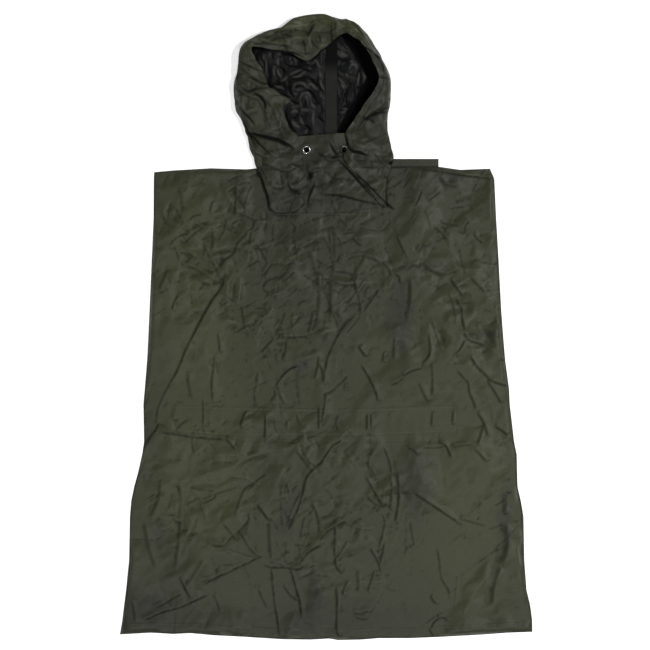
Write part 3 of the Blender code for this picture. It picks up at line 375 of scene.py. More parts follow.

# raised ridges with a painted highlight along them, on the hood's outside, the hem and the right side: half
# width, strength, then points x, y
highlightRidges = [
    (2.6, 1, -97, 689, -83, 692, -67, 692, -45, 696), (3.2, 1, -77, 702, -55, 700),
    (1.8, 0.8, -176, 642, -167, 650, -154, 658), (2, 0.6, -126, 676, -115, 672),
    (2, 0.9, 22, 704, 29, 695, 40, 690), (1.8, 0.9, 41, 700, 56, 698),
    (2.6, 0.6, -42, 665, -39, 651, -35, 637), (1.8, 0.7, -21, 666, -20, 653),
    (1.7, 0.8, -17, 637, -11, 643, 0, 647), (1.3, 0.8, -60, 622, -54, 622),
    (1.6, 0.8, 134, 600, 139, 584, 140, 575), (2, 0.7, 124, 578, 132, 581),
    (3, 0.5, 110, 605, 117, 591, 123, 580), (1.8, 0.6, 66, 676, 80, 666, 94, 650),
    (1.7, 0.7, -191, 575, -183, 576), (2.2, 0.6, -195, 554, -190, 555),
    (2, 0.7, -111, 530, -101, 527, -90, 521), (1.5, 0.5, -13, 703, 4, 704),
    (1.6, 0.6, 48, 481, 60, 469, 53, 453), (2.6, 1, -245, -703, -232, -706, -216, -706),
    (2.2, 0.9, -88, -711, -74, -713, -58, -713), (2.6, 1, 9, -714, 30, -716, 55, -716),
    (2.2, 1, 262, -709, 290, -708, 318, -707), (2.6, 0.9, 330, -705, 360, -704, 392, -703),
    (3, 1, 435, -368, 437, -386, 439, -404), (2.4, 0.9, 446, -466, 448, -480, 449, -494),
    (3, 1, 441, -510, 445, -530, 450, -550), (2, 0.7, -408, -270, -420, -300, -428, -330),
    (2.2, 0.7, -398, 250, -399, 210, -401, 160), (2, 0.6, -400, 60, -403, 10, -406, -50),
]

press = {
    "margin": 4.0,  # a crease is drawn this far past its widths
    "fade": 0.16,  # share of the run over which either end fades
    "longRun": (30, 90),  # lines of such lengths come and go
    "broken": 0.75,  # how much of a long one goes
    "brokenNoise": (13.0, 57),
    "wideSteep": (4, 9),  # steep sides as broad as these are shaded all over, without a line
    "line": (0.95, 0.06),  # width of the line, and what it gains with the steep side's width
    "flank": (0.25, 0.3),  # shade of the steep side, and what a broad one gains
    "ragged": 2.5,  # how far the steep side's shade strays
    "raggedNoise": (9.0, 58),
    "glint": (1.0, 1.3),  # place and width of the painted highlight along the top
    "tip": 0.06,  # a drawn line narrows no further from this share of its run to either end
    "taper": 0.6,
    "softEdge": (1.2, -1.0),  # outside and inside its half width it fades over these
    "ridgeRise": 1.0,
    "ridgeStrength": 2.4,
    "foldDepth": -1.6,
    "foldWidth": 1.2,  # deep lines are drawn this much wider than their table says
}

crumple = {
    "seed": 11,
    "count": 330,  # small creases over the whole garment
    "across": (-470, 480),
    "up": (-715, 715),
    "calmShare": 0.06,  # how many fall on calm cloth
    "heading": (-1.35, 0.75),  # mean and spread, for the share of them that runs downwards
    "downwards": 0.7,
    "bend": 0.35,
    "length": (14, 90),
    "rise": (0.6, 2.4),
    "gentle": (6, 26),
    "steep": (2.2, 4.0),
    "shade": (0.05, 0.7),
    # overall crumple, as layers of flat facets: length, width, slope, heading in degrees, seed
    "facets": [
        (260, 150, 0.05, 75, 41), (150, 90, 0.1, 48, 42), (100, 62, 0.14, 98, 43), (70, 44, 0.17, 62, 44),
        (48, 31, 0.22, 28, 45), (34, 22, 0.24, 112, 46), (23, 15, 0.25, 55, 47),
    ],
    "warp": 0.4,  # how far the facets' corners stray, as a share of their size
    "ground": 0.25,  # share of the small facets on calm cloth
    "smallFacets": (120, 40),
    "valleys": (0.07, 0.34, 0.55),  # bends from here to there are shaded up to this
    "ridges": (0.07, 0.4, 0.7),  # and lightened up to this
    "shadeGain": 1.1,
    "crestGain": 1.2,
    "patchStray": 16,  # how far the painted sheen patches' edges stray
    "patchNoises": [(26, 81), (26, 82)],
    "rim": (2.6, 0.8, 0.6),  # the front's edge is shaded from the first distance to the second, this much
    "rimNoise": (40.0, 59),
}

# where the cloth is crumpled most: x, y, radius x, radius y, weight
crumpledSpots = [
    (-170, 180, 130, 190, 1), (-80, 60, 150, 170, 0.8), (60, 130, 150, 130, 0.6), (-330, 200, 80, 150, 0.55),
    (310, 200, 110, 150, 0.45), (330, -20, 90, 120, 0.75), (0, 340, 150, 90, 1), (-150, 520, 80, 160, 0.9),
    (120, 470, 60, 160, 0.8), (20, 670, 140, 60, 0.9), (-60, -350, 120, 120, 0.7), (130, -400, 90, 150, 0.45),
    (-330, -430, 110, 140, 0.6), (20, -520, 150, 90, 0.5), (380, -430, 70, 170, 0.35),
    (-200, -230, 200, 60, 0.4),
]

# patches of painted sheen, greyer and darker, with uneven, clear edges: x, y, radius x, radius y, amount
paintedSheenPatches = [
    (172, 20, 34, 98, 1.7), (206, -362, 42, 88, 1.6), (288, 342, 38, 10, 2.6), (-94, 272, 38, 13, 1.7),
    (-28, -612, 16, 44, 1.5), (-404, -240, 18, 60, 1.2), (-370, -470, 22, 60, 1.1), (-318, -480, 26, 60, 0.9),
    (412, -400, 12, 40, 1.6), (404, -480, 12, 70, 1.5), (-60, -96, 14, 18, 1.6), (96, -70, 10, 18, 1),
    (-100, -440, 18, 40, 1.2), (-344, -560, 26, 30, 0.9), (376, -16, 30, 12, 1.4), (230, 135, 60, 12, 0.8),
]

# cloth painted greyer and darker (above 0) or warmer and lighter (below 0), partly its own uneven tone and
# partly painted shade and painted highlight: x, y, radius x, radius y, amount
tonePatches = [
    (-290, -390, 74, 110, -1.5), (-300, -300, 70, 60, -0.5), (-400, -655, 40, 26, 0.9),
    (0, -628, 60, 30, 0.4), (215, -580, 30, 40, 0.3), (331, -352, 55, 60, -1.1), (-380, -106, 27, 96, 0.9),
    (-404, -340, 30, 62, 1), (-395, -500, 26, 100, 0.6), (377, -12, 20, 12, 0.9), (-60, -80, 12, 15, 1.2),
    (290, 335, 30, 14, 0.4), (-94, 272, 38, 14, 0.4), (70, 284, 70, 12, 0.7), (-280, -560, 60, 70, 0.4),
    (-60, -640, 60, 70, 0.4), (0, 300, 190, 120, 0.8), (20, 110, 120, 150, 0.5), (-130, 200, 90, 110, 0.3),
    (-400, -640, 80, 60, 0.7), (0, 480, 220, 170, 1.45), (124, 450, 36, 110, 0.8), (20, 610, 30, 50, 0.8),
    (110, 600, 26, 60, 0.5), (270, 320, 120, 40, 0.4), (-20, 345, 80, 60, 0.8), (-120, 440, 50, 60, 0.5),
    (-190, 560, 34, 90, 0.7), (-20, 704, 66, 14, -1.9), (66, 688, 26, 14, -1.2), (120, 560, 30, 60, 0.3),
    (-350, 60, 90, 250, -0.9), (-350, -330, 110, 220, -1), (320, -330, 120, 260, -0.8),
    (-440, -645, 50, 50, 1.2), (-30, -670, 200, 35, 0.9), (125, -75, 40, 50, -0.8), (190, 372, 90, 30, 0.9),
    (-30, 714, 70, 12, -0.9), (-300, 250, 90, 80, -1), (-270, -190, 75, 210, -1.2), (-320, 30, 60, 80, -0.8),
    (250, -180, 200, 250, -0.35), (-94, 290, 60, 46, 0.7), (-161, 421, 40, 34, -0.6),
    (-300, -660, 90, 40, 0.8), (0, -665, 80, 30, 0.35), (170, -660, 90, 34, 0.6), (300, -540, 40, 30, -0.5),
    (-100, 700, 44, 12, -0.7), (-40, 600, 20, 60, 0.3), (340, -380, 90, 130, -0.9), (340, 0, 110, 170, -0.35),
    (-350, 60, 70, 190, -0.4), (-260, -160, 130, 110, -0.55), (300, -560, 130, 100, -0.4),
    (-290, -360, 120, 100, -0.5), (-275, -100, 75, 400, -0.6), (356, -612, 40, 36, -0.8),
    (-20, -692, 150, 26, 0.55), (-380, -690, 40, 26, 0.6), (124, 572, 20, 36, 1.2), (-80, 694, 44, 18, -1.7),
    (62, 690, 34, 18, -1.3), (150, 570, 20, 60, 0.5),
]


def creasePath(points):
    # the crease's points joined by a smooth curve, four steps to each
    rows = np.array(points, dtype=float).reshape(-1, 2)
    return readRows(rows, np.linspace(0, len(rows) - 1, 4 * (len(rows) - 1) + 1))


def windowOf(maps, path, reach):
    # the part of the maps within reach of a path
    grid = maps["grid"]
    corner = (grid["left"], grid["bottom"])
    start = np.clip((path.min(axis=0) - reach - corner) / grid["step"], 0, None).astype(int)
    stop = np.clip((path.max(axis=0) + reach - corner) / grid["step"], 0, None).astype(int)
    return slice(start[1], stop[1]), slice(start[0], stop[0])


def layOver(maps, key, window, values):
    maps[key][window] = np.maximum(maps[key][window], values)


def pressCrease(maps, rise, gentle, steep, shade, points):
    # rise * (1 - d / gentle)^1.5 on the left of the run and rise * smooth(1 - d / steep) on its right;
    # both fade out at the run's ends, and a line of shade lies at the steep side's foot
    path = creasePath(points)
    window = windowOf(maps, path, max(gentle, steep) + press["margin"])
    x, y = maps["x"][window], maps["y"][window]
    if x.size == 0:
        return
    nearest, along, turn = np.full(x.shape, np.inf), np.zeros(x.shape), np.zeros(x.shape)
    for number, (start, end) in enumerate(zip(path[:-1], path[1:])):
        run = end - start
        awayX, awayY = x - start[0], y - start[1]
        t = np.clip((awayX * run[0] + awayY * run[1]) / max(run @ run, 1e-6), 0, 1)
        distance = np.hypot(awayX - t * run[0], awayY - t * run[1])
        closer = distance < nearest
        nearest = np.where(closer, distance, nearest)
        along = np.where(closer, (number + t) / (len(path) - 1), along)
        turn = np.where(closer, run[0] * awayY - run[1] * awayX, turn)
    ends = smoothStep(0, press["fade"], along) * smoothStep(0, press["fade"], 1 - along)
    left = np.clip(1 - nearest / gentle, 0, 1) ** 1.5
    right = smoothStep(0, 1, 1 - nearest / steep)
    maps["relief"][window] += rise * ends * np.where(turn > 0, left, right)
    signed = np.where(turn > 0, nearest, -nearest)
    broken = press["broken"] * float(smoothStep(*press["longRun"], np.hypot(*(path[-1] - path[0]))))
    uneven = 1 - broken * smoothStep(0.3, -0.3, latticeNoise(x, y, *press["brokenNoise"]))
    wide = float(smoothStep(*press["wideSteep"], steep))
    strength = shade ** 1.5 * ends
    lineWidth = press["line"][0] + press["line"][1] * steep
    line = strength * uneven * (1 - 0.6 * wide) * np.exp(-((signed + 0.4 * steep) / lineWidth) ** 2)
    reach = steep + 2 + press["ragged"] * latticeNoise(x, y, *press["raggedNoise"])
    flank = press["flank"][0] + press["flank"][1] * wide
    flank = strength * flank * smoothStep(0, 5, reach - nearest) * (turn <= 0)
    layOver(maps, "shade", window, np.maximum(line, flank))
    place, width = press["glint"]
    layOver(maps, "crest", window, strength * uneven * np.exp(-((signed - place) / width) ** 2))


def nearestOf(path, x, y):
    # distance to the nearest of a path's points, and that point's number
    away = np.hypot(x[..., None] - path[:, 0], y[..., None] - path[:, 1])
    return away.min(axis=-1), away.argmin(axis=-1)


def drawLine(maps, key, width, strength, points, depth):
    # strength within a half width that tapers to both ends, laid over the map called key, and the
    # relief raised by depth along it
    path = creasePath(points)
    window = windowOf(maps, path, width + press["margin"])
    fine = readRows(path, np.linspace(0, len(path) - 1, 6 * len(path)))
    away, number = nearestOf(fine, maps["x"][window], maps["y"][window])
    along = np.clip(number / (len(fine) - 1), press["tip"], 1 - press["tip"])
    half = width * np.sin(math.pi * along) ** press["taper"]
    line = strength * smoothStep(half + press["softEdge"][0], half + press["softEdge"][1], away)
    layOver(maps, key, window, line)
    maps["relief"][window] += depth * line


def spotsAt(spots, x, y, power=1.0):
    # sum of weight * exp(-((dx / rx)^2 + (dy / ry)^2)^power)
    return sum(weight * np.exp(-(((x - spotX) / radiusX) ** 2 + ((y - spotY) / radiusY) ** 2) ** power)
               for spotX, spotY, radiusX, radiusY, weight in spots)


def scatterCreases(maps):
    # small creases at seeded random places, more of them and higher where the cloth is crumpled
    rng = np.random.default_rng(crumple["seed"])
    made = 0
    while made < crumple["count"]:
        x, y = rng.uniform(*crumple["across"]), rng.uniform(*crumple["up"])
        dense = min(1.0, crumple["calmShare"] + float(spotsAt(crumpledSpots, x, y)))
        if rng.uniform() > dense:
            continue
        made += 1
        size = rng.uniform() ** 2
        length = crumple["length"][0] + size * (crumple["length"][1] - crumple["length"][0])
        if rng.uniform() < crumple["downwards"]:
            heading = rng.normal(*crumple["heading"])
        else:
            heading = rng.uniform(-math.pi, math.pi)
        bend = rng.normal(0, crumple["bend"])
        steps = np.array([-0.5, -0.17, 0.17, 0.5]) * length
        angle = heading + bend * steps / length
        points = np.column_stack([x + np.cos(angle) * steps, y + np.sin(angle) * steps])
        rise = rng.uniform(*crumple["rise"]) * (0.5 + 0.5 * size) * (0.55 + 0.45 * dense)
        gentle, steep = rng.uniform(*crumple["gentle"]), rng.uniform(*crumple["steep"])
        shade = rng.uniform(*crumple["shade"]) * dense
        pressCrease(maps, rise, gentle, steep, shade, points)


def soften(field, passes):
    # each pass averages a cell with its neighbours by 1 2 1 in both directions
    for _ in range(passes):
        padded = np.pad(field, 1, mode="edge")
        across = 0.25 * padded[:, :-2] + 0.5 * padded[:, 1:-1] + 0.25 * padded[:, 2:]
        field = 0.25 * across[:-2] + 0.5 * across[1:-1] + 0.25 * across[2:]
    return field


def facetLayer(x, y, length, width, slope, heading, seed, dense):
    # facet noise on a turned grid whose corners stray by a coarser facet noise; only in patches
    u, v = turnedGrid(x, y, length, width, heading)
    stray = crumple["warp"]
    u, v = (u + stray * facetNoise(0.7 * u + 0.3 * v, 0.7 * v - 0.3 * u, seed + 100),
            v + stray * facetNoise(0.6 * u - 0.4 * v, 0.6 * v + 0.4 * u, seed + 200))
    patch = smoothStep(-0.5, 0.35, latticeNoise(x, y, 1.6 * length, seed + 300))
    small = smoothStep(*crumple["smallFacets"], length)
    share = 1 - small * (1 - crumple["ground"]) * (1 - dense)
    return slope * width * facetNoise(u, v, seed) * patch * share


def emptyMaps(grid):
    across = np.arange(grid["left"], grid["right"] + grid["step"], grid["step"])
    up = np.arange(grid["bottom"], grid["top"] + grid["step"], grid["step"])
    x, y = np.meshgrid(across, up)
    return {"grid": grid, "x": x, "y": y,
            "relief": np.zeros(x.shape), "shade": np.zeros(x.shape), "crest": np.zeros(x.shape)}


def shadeBends(maps):
    # sharp valleys hold more shade and sharp ridges more light: the relief's curvature between two limits
    padded = np.pad(maps["relief"], 1, mode="edge")
    around = padded[:-2, 1:-1] + padded[2:, 1:-1] + padded[1:-1, :-2] + padded[1:-1, 2:]
    bend = around - 4 * padded[1:-1, 1:-1]
    whole = (slice(None), slice(None))
    for key, sign, (low, high, most) in (("crest", -1, crumple["ridges"]), ("shade", 1, crumple["valleys"])):
        layOver(maps, key, whole, most * smoothStep(low, high, sign * bend))


def makeMaps():
    # relief, shade, crest light and tone of the whole garment
    maps = emptyMaps(reliefMap)
    x, y = maps["x"], maps["y"]
    for row in creases:
        pressCrease(maps, *row[:4], row[4:])
    scatterCreases(maps)
    dense = np.clip(spotsAt(crumpledSpots, x, y), 0, 1)
    for layer in crumple["facets"]:
        maps["relief"] += facetLayer(x, y, *layer, dense)
    maps["relief"] = soften(maps["relief"], 1)
    shadeBends(maps)
    # painted highlights along the listed ridges, then painted shade along the deep lines
    for width, strength, *points in highlightRidges:
        drawLine(maps, "crest", width, press["ridgeStrength"] * strength, points, press["ridgeRise"])
    for width, *points in deepLines:
        drawLine(maps, "shade", press["foldWidth"] * width, 1.0, points, press["foldDepth"])
    maps["relief"] = soften(maps["relief"], 1)
    maps["shade"] = np.minimum(crumple["shadeGain"] * soften(maps["shade"], 1), 1)
    maps["crest"] = crumple["crestGain"] * soften(maps["crest"], 1)
    # tone: the tone patches (own tone, painted shade and highlight), the painted sheen patches and the greyer
    # hem
    strayX, strayY = (crumple["patchStray"] * latticeNoise(x, y, *pair) for pair in crumple["patchNoises"])
    patches = spotsAt(tonePatches, x, y) + spotsAt(paintedSheenPatches, x + strayX, y + strayY, 2.0)
    maps["tone"] = patches + garment["hemTone"] * hemAt(x, y, 4)
    start, full, most = crumple["rim"]
    away = edgeDistance(x, y)
    rim = smoothStep(start, full, away) * (away > -2)
    rim = rim * smoothStep(-0.5, 0.4, latticeNoise(x, y, *crumple["rimNoise"]))
    maps["shade"] = np.maximum(maps["shade"], most * rim * (1 - np.clip(maps["crest"], 0, 1)))
    return maps


def mapAt(maps, key, x, y):
    # straight-line reading of a map between its cells
    field, grid = maps[key], maps["grid"]
    u = np.clip((x - grid["left"]) / grid["step"], 0, field.shape[1] - 1.001)
    v = np.clip((y - grid["bottom"]) / grid["step"], 0, field.shape[0] - 1.001)
    i, j = u.astype(int), v.astype(int)
    fu, fv = u - i, v - j
    low = field[j, i] * (1 - fu) + field[j, i + 1] * fu
    high = field[j + 1, i] * (1 - fu) + field[j + 1, i + 1] * fu
    return low * (1 - fv) + high * fv


maps = makeMaps()
print("creases pressed:", len(creases), "by hand and", crumple["count"], "small ones")


def reliefAt(x, y):
    return mapAt(maps, "relief", x, y)


def fieldsAt(x, y):
    return {key: mapAt(maps, key, x, y) for key in ("shade", "crest", "tone")}


def newPiece(name, points, faces, materials, sharpFrom=None, rides=True):
    # a smooth-shaded mesh whose edges bent more than sharpFrom stay sharp; all but the floor ride on root
    mesh = bpy.data.meshes.new(name)
    mesh.from_pydata((np.reshape(points, (-1, 3)) * mm).tolist(), [], faces)
    for material in materials:
        mesh.materials.append(material)
    mesh.shade_smooth()
    if sharpFrom is not None:
        mesh.set_sharp_from_angle(angle=math.radians(sharpFrom))
    piece = bpy.data.objects.new(name, mesh)
    bpy.context.scene.collection.objects.link(piece)
    if rides:
        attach(piece, "root")
    return piece


def ringQuads(rings, sides, closed):
    # faces between neighbouring rings of points; of a closed row also between its last and first ring
    i, j = np.meshgrid(np.arange(rings if closed else rings - 1), np.arange(sides), indexing="ij")
    nextI, nextJ = (i + 1) % rings, (j + 1) % sides
    quads = np.stack([i * sides + j, i * sides + nextJ, nextI * sides + nextJ, nextI * sides + j], axis=-1)
    return quads.reshape(-1, 4)


def setField(piece, key, values):
    data = piece.data.attributes.new(key, "FLOAT", "POINT").data
    data.foreach_set("value", np.ravel(values).astype(np.float32))


def closedSheet(name, top, bottom, materials, block=1, keep=None, fields=None, cloth=None):
    # A wall with a top grid of points and an underside grid that holds every block-th point of it.
    # Columns run to the right and rows away when the top is seen from its outside. keep leaves out
    # whole blocks; every open side is closed by faces that join the two grids. Of two materials the
    # second goes on the underside. The sheet's own coordinates are cloth, or else x and y.
    rows, columns = top.shape[0] - 1, top.shape[1] - 1
    if keep is None:
        keep = np.ones((rows // block, columns // block), dtype=bool)
    topNumber = np.arange(top[..., 0].size).reshape(top.shape[:2])
    lowNumber = np.arange(bottom[..., 0].size).reshape(bottom.shape[:2]) + topNumber.size

    def quads(number, chosen):
        corners = (number[:-1, :-1], number[:-1, 1:], number[1:, 1:], number[1:, :-1])
        return np.stack([corner[chosen] for corner in corners], axis=-1)

    upper = quads(topNumber, np.repeat(np.repeat(keep, block, axis=0), block, axis=1))
    lower = quads(lowNumber, keep)[:, ::-1]
    padded, steps, sides = np.pad(keep, 1), np.arange(block + 1), []
    # each side of a block: its neighbour, and the two corners that it runs between
    for (up, right), start, end in (((-1, 0), (0, 0), (0, 1)), ((0, 1), (0, 1), (1, 1)),
                                    ((1, 0), (1, 1), (1, 0)), ((0, -1), (1, 0), (0, 0))):
        beside = padded[1 + up:1 + up + keep.shape[0], 1 + right:1 + right + keep.shape[1]]
        row, column = np.nonzero(keep & ~beside)
        first, last = (row + start[0], column + start[1]), (row + end[0], column + end[1])
        fine = [block * last[k][:, None] + (start[k] - end[k]) * steps for k in (0, 1)]
        sides.append(np.column_stack([lowNumber[first], lowNumber[last], topNumber[fine[0], fine[1]]]))
    sides = np.vstack(sides)
    points = np.vstack([top.reshape(-1, 3), bottom.reshape(-1, 3)])
    used = np.zeros(len(points), dtype=bool)
    for faces in (upper, lower, sides):
        used[faces.ravel()] = True
    renumber = np.cumsum(used) - 1
    faces = [face for part in (upper, lower, sides) for face in renumber[part].tolist()]
    piece = newPiece(name, points[used], faces, materials, sharpFrom=70)
    slots = np.zeros(len(faces), dtype=np.int32)
    slots[len(upper):len(upper) + len(lower)] = len(materials) - 1
    piece.data.polygons.foreach_set("material_index", slots)

    def bothGrids(values):
        return np.concatenate([values.reshape(top[..., 0].size, -1), values[::block, ::block].reshape(
            bottom[..., 0].size, -1)])[used]

    corners = np.zeros(len(piece.data.loops), dtype=np.int32)
    piece.data.loops.foreach_get("vertex_index", corners)
    flat = bothGrids(top[..., :2] if cloth is None else cloth) * mm
    piece.data.uv_layers.new(name="cloth").data.foreach_set("uv", flat[corners].astype(np.float32).ravel())
    for key, values in (fields or {}).items():
        setField(piece, key, bothGrids(values))
    return piece


def between(breaks, position):
    # position 1.25 is a quarter of the way from breaks[1] to breaks[2]
    stacked = np.stack(np.broadcast_arrays(*breaks, position)[:-1])
    lower = np.clip(np.floor(position).astype(int), 0, len(breaks) - 2)
    part = position - lower
    lower = np.broadcast_to(lower, stacked.shape[1:])
    start = np.take_along_axis(stacked, lower[None], axis=0)[0]
    end = np.take_along_axis(stacked, lower[None] + 1, axis=0)[0]
    return start + part * (end - start)


def blockSteps(lengths, spacing, block):
    # whole blocks of equal steps along each length; the positions count the lengths passed
    runs = []
    for number, length in enumerate(lengths):
        count = block * max(1, round(length / (spacing * block)))
        runs.append(number + np.arange(count) / count)
    return np.append(np.concatenate(runs), len(lengths))


def panelGrid(bottom, top, inset, notch, spacing, block):
    # x, y of a body panel's grid between a bottom line, a top line and the side edges; each of the two
    # lines comes with its shift upwards
    if notch:
        spans, levels = garment["notchSpans"], garment["notchLevels"]
    else:
        height = lineAt(top[0], 0) + top[1] - (lineAt(bottom[0], 0) + bottom[1])
        spans, levels = (garment["width"],), (abs(float(height)),)
    u, v = blockSteps(spans, spacing, block)[None, :], blockSteps(levels, spacing, block)[:, None]
    y = np.zeros((v.size, u.size)) + 100.0
    for _ in range(8):  # the side edges lean and the lines wave, so x and y are found in turns
        breaks = [sideAt(y, "left", inset), sideAt(y, "right", inset)]
        if notch:
            breaks[1:1] = [np.full(y.shape, garment[key]) for key in ("notchLeft", "notchRight")]
        x = between(breaks, np.broadcast_to(u, y.shape))
        heights = [lineAt(line, x) + shift for line, shift in (bottom, top)]
        if notch:
            heights.insert(1, np.full(y.shape, garment["notchBottom"]))
        y = between(heights, np.broadcast_to(v, y.shape))
    return x, y, u[0], v[:, 0]


def frontTop(x, y):
    # lowest top + (rest rise + relief) * fall at the edges + the hem's step; calm where it is covered
    rise = garment["restRise"] + reliefAt(x, y)
    rise = np.where(rise < 1, np.exp(np.minimum(rise, 1) - 1), rise)  # low places settle on the back
    rise = np.minimum(rise, garment["highest"] - garment["frontLow"])
    left, right, low = garment["coveredBox"]
    outside = np.hypot(np.maximum(np.maximum(left - x, x - right), 0), np.maximum(low - y, 0))
    covered = 1 - smoothStep(*garment["coveredFade"], outside)
    calmed = np.minimum(garment["coveredShare"] * rise, garment["coveredRise"])
    rise = rise + covered * (calmed - rise)
    fall = smoothStep(0, 1, np.clip(edgeDistance(x, y) / garment["edgeRoll"], 0, 1) ** 0.6)
    return garment["frontLow"] + rise * fall + garment["hemStep"] * hemAt(x, y, garment["hemSlope"])


def underside(top, block):
    # every block-th point, lowered to clear the lowest fine point around it, less the wall
    z = top[..., 2]
    low = z.copy()
    for shift in range(1, block):
        for axis in (0, 1):
            for direction in (shift, -shift):
                low = np.minimum(low, np.roll(z, direction, axis=axis))
    bottom = top[::block, ::block].copy()
    bottom[..., 2] = np.maximum(low[::block, ::block] - garment["cloth"], garment["underLow"])
    return bottom


def buildFront(name, bottom, top, notch):
    # a part of the front: its grid at the front's height, less the neck cut-out's blocks
    block = garment["block"]
    x, y, u, v = panelGrid(bottom, top, garment["frontInset"], notch, garment["spacing"], block)
    upper = np.stack([x, y, frontTop(x, y)], axis=-1)
    keep = None
    if notch:
        across, up = (0.5 * (steps[:-1:block] + steps[block::block]) for steps in (u, v))
        keep = ~((up[:, None] > 1) & (across[None, :] > 1) & (across[None, :] < 2))
    return closedSheet(name, upper, underside(upper, block), clothAndLining, block, keep, fieldsAt(x, y))


# waist channel: x, top edge, bottom edge
band = {
    "edges": [(-356, -179, -241), (-302, -181, -245), (-198, -184, -253), (-127, -186, -250), (9, -189, -253),
              (101, -187, -250), (239, -182, -245), (301, -180, -243)],
    "spacing": 2.2,
    "rows": 31,
    "clear": 0.35,
    "pucker": 0.5,  # height of the upright puckers between the two rows of stitches
    "puckerNoise": (26.0, 61),
    "puckerWidth": 0.22,  # their width as a share of their height
    "puckerCalm": 0.22,  # share of the band, at either edge, over which they fade out
    "stitchInset": 4.5,
}


def bandEdges(x):
    return lineAt(band["edges"], x), lineAt(band["edges"], x, 2)


def bandTop(x, y):
    # the front under it + wall + upright puckers: height * |noise| drawn out along y, 0 at both edges
    upper, lower = bandEdges(x)
    part = np.clip((y - lower) / (upper - lower), 0, 1)
    fade = smoothStep(0, band["puckerCalm"], part) * smoothStep(0, band["puckerCalm"], 1 - part)
    pucker = np.abs(latticeNoise(x, y * band["puckerWidth"], *band["puckerNoise"]))
    return frontTop(x, y) + garment["cloth"] + band["clear"] + band["pucker"] * fade * (1.1 - 2 * pucker)


def buildBand():
    left, right = band["edges"][0][0], band["edges"][-1][0]
    u = np.linspace(left, right, round((right - left) / band["spacing"]) + 1)[None, :]
    upper, lower = bandEdges(u)
    y = lower + np.linspace(0, 1, band["rows"])[:, None] * (upper - lower)
    x = np.broadcast_to(u, y.shape)
    lowest = frontTop(x, y) + band["clear"] + garment["cloth"]
    top = np.stack([x, y, np.maximum(bandTop(x, y), lowest)], axis=-1)
    bottom = top - (0, 0, garment["cloth"])
    return closedSheet("waistBand", top, bottom, clothAndLining, fields=fieldsAt(x, y))


back = {
    "spacing": 6.5,
    "wall": 0.8,
    "swell": (0.21, 55, 71),  # height, size and seed
    "wrinkle": (0.12, 28, 72),
    "highest": 0.5,
}


def buildBack():
    # the whole back, plain and nearly flat, with a little of its own crumple
    x, y, _, _ = panelGrid((hemLine, 0), (shoulderLine, 0), 0, False, back["spacing"], 1)
    (swell, *swellNoise), (wrinkle, *wrinkleNoise) = back["swell"], back["wrinkle"]
    lift = swell * (1 + latticeNoise(x, y, *swellNoise))
    lift = lift + wrinkle * (1 - 2 * np.abs(latticeNoise(x, y, *wrinkleNoise)))
    bottom = np.stack([x, y, np.clip(lift, 0, back["highest"])], axis=-1)
    return closedSheet("backPanel", bottom + (0, 0, back["wall"]), bottom, [finishes["olive"]],
                       fields=fieldsAt(x, y))


flap = {
    "low": 366.0,
    "high": 386.6,
    "right": 258.6,
    "start": [(366.0, 137.0), (371.0, 138.5), (377.0, 146.5), (384.0, 151.5), (387.0, 152.5)],  # y, x
    "columns": 54,
    "rows": 11,
    "wave": (0.25, 30, 73),  # height, size and seed
    "foldShade": 0.9,  # it is darkest where it comes out behind the shoulder
    "foldPart": 0.16,
}


def buildFlap():
    # the strip of the back that shows above the right shoulder, from under the hood's edge outwards
    u, v = np.linspace(0, 1, flap["columns"])[None, :], np.linspace(0, 1, flap["rows"])[:, None]
    y = flap["low"] + v * (flap["high"] - flap["low"]) + 0 * u
    start = lineAt(flap["start"], y)
    x = start + u * (flap["right"] - start)
    y = y - (1 - v) * (flap["low"] + 0.1 - lineAt(shoulderLine, x))
    wave, *waveNoise = flap["wave"]
    bottom = np.stack([x, y, wave * (1 + latticeNoise(x, y, *waveNoise))], axis=-1)
    values = fieldsAt(x, y)
    values["shade"] = flap["foldShade"] * smoothStep(flap["foldPart"], 0.0, v) + 0 * x
    return closedSheet("backFlap", bottom + (0, 0, back["wall"]), bottom, [finishes["olive"]], fields=values)


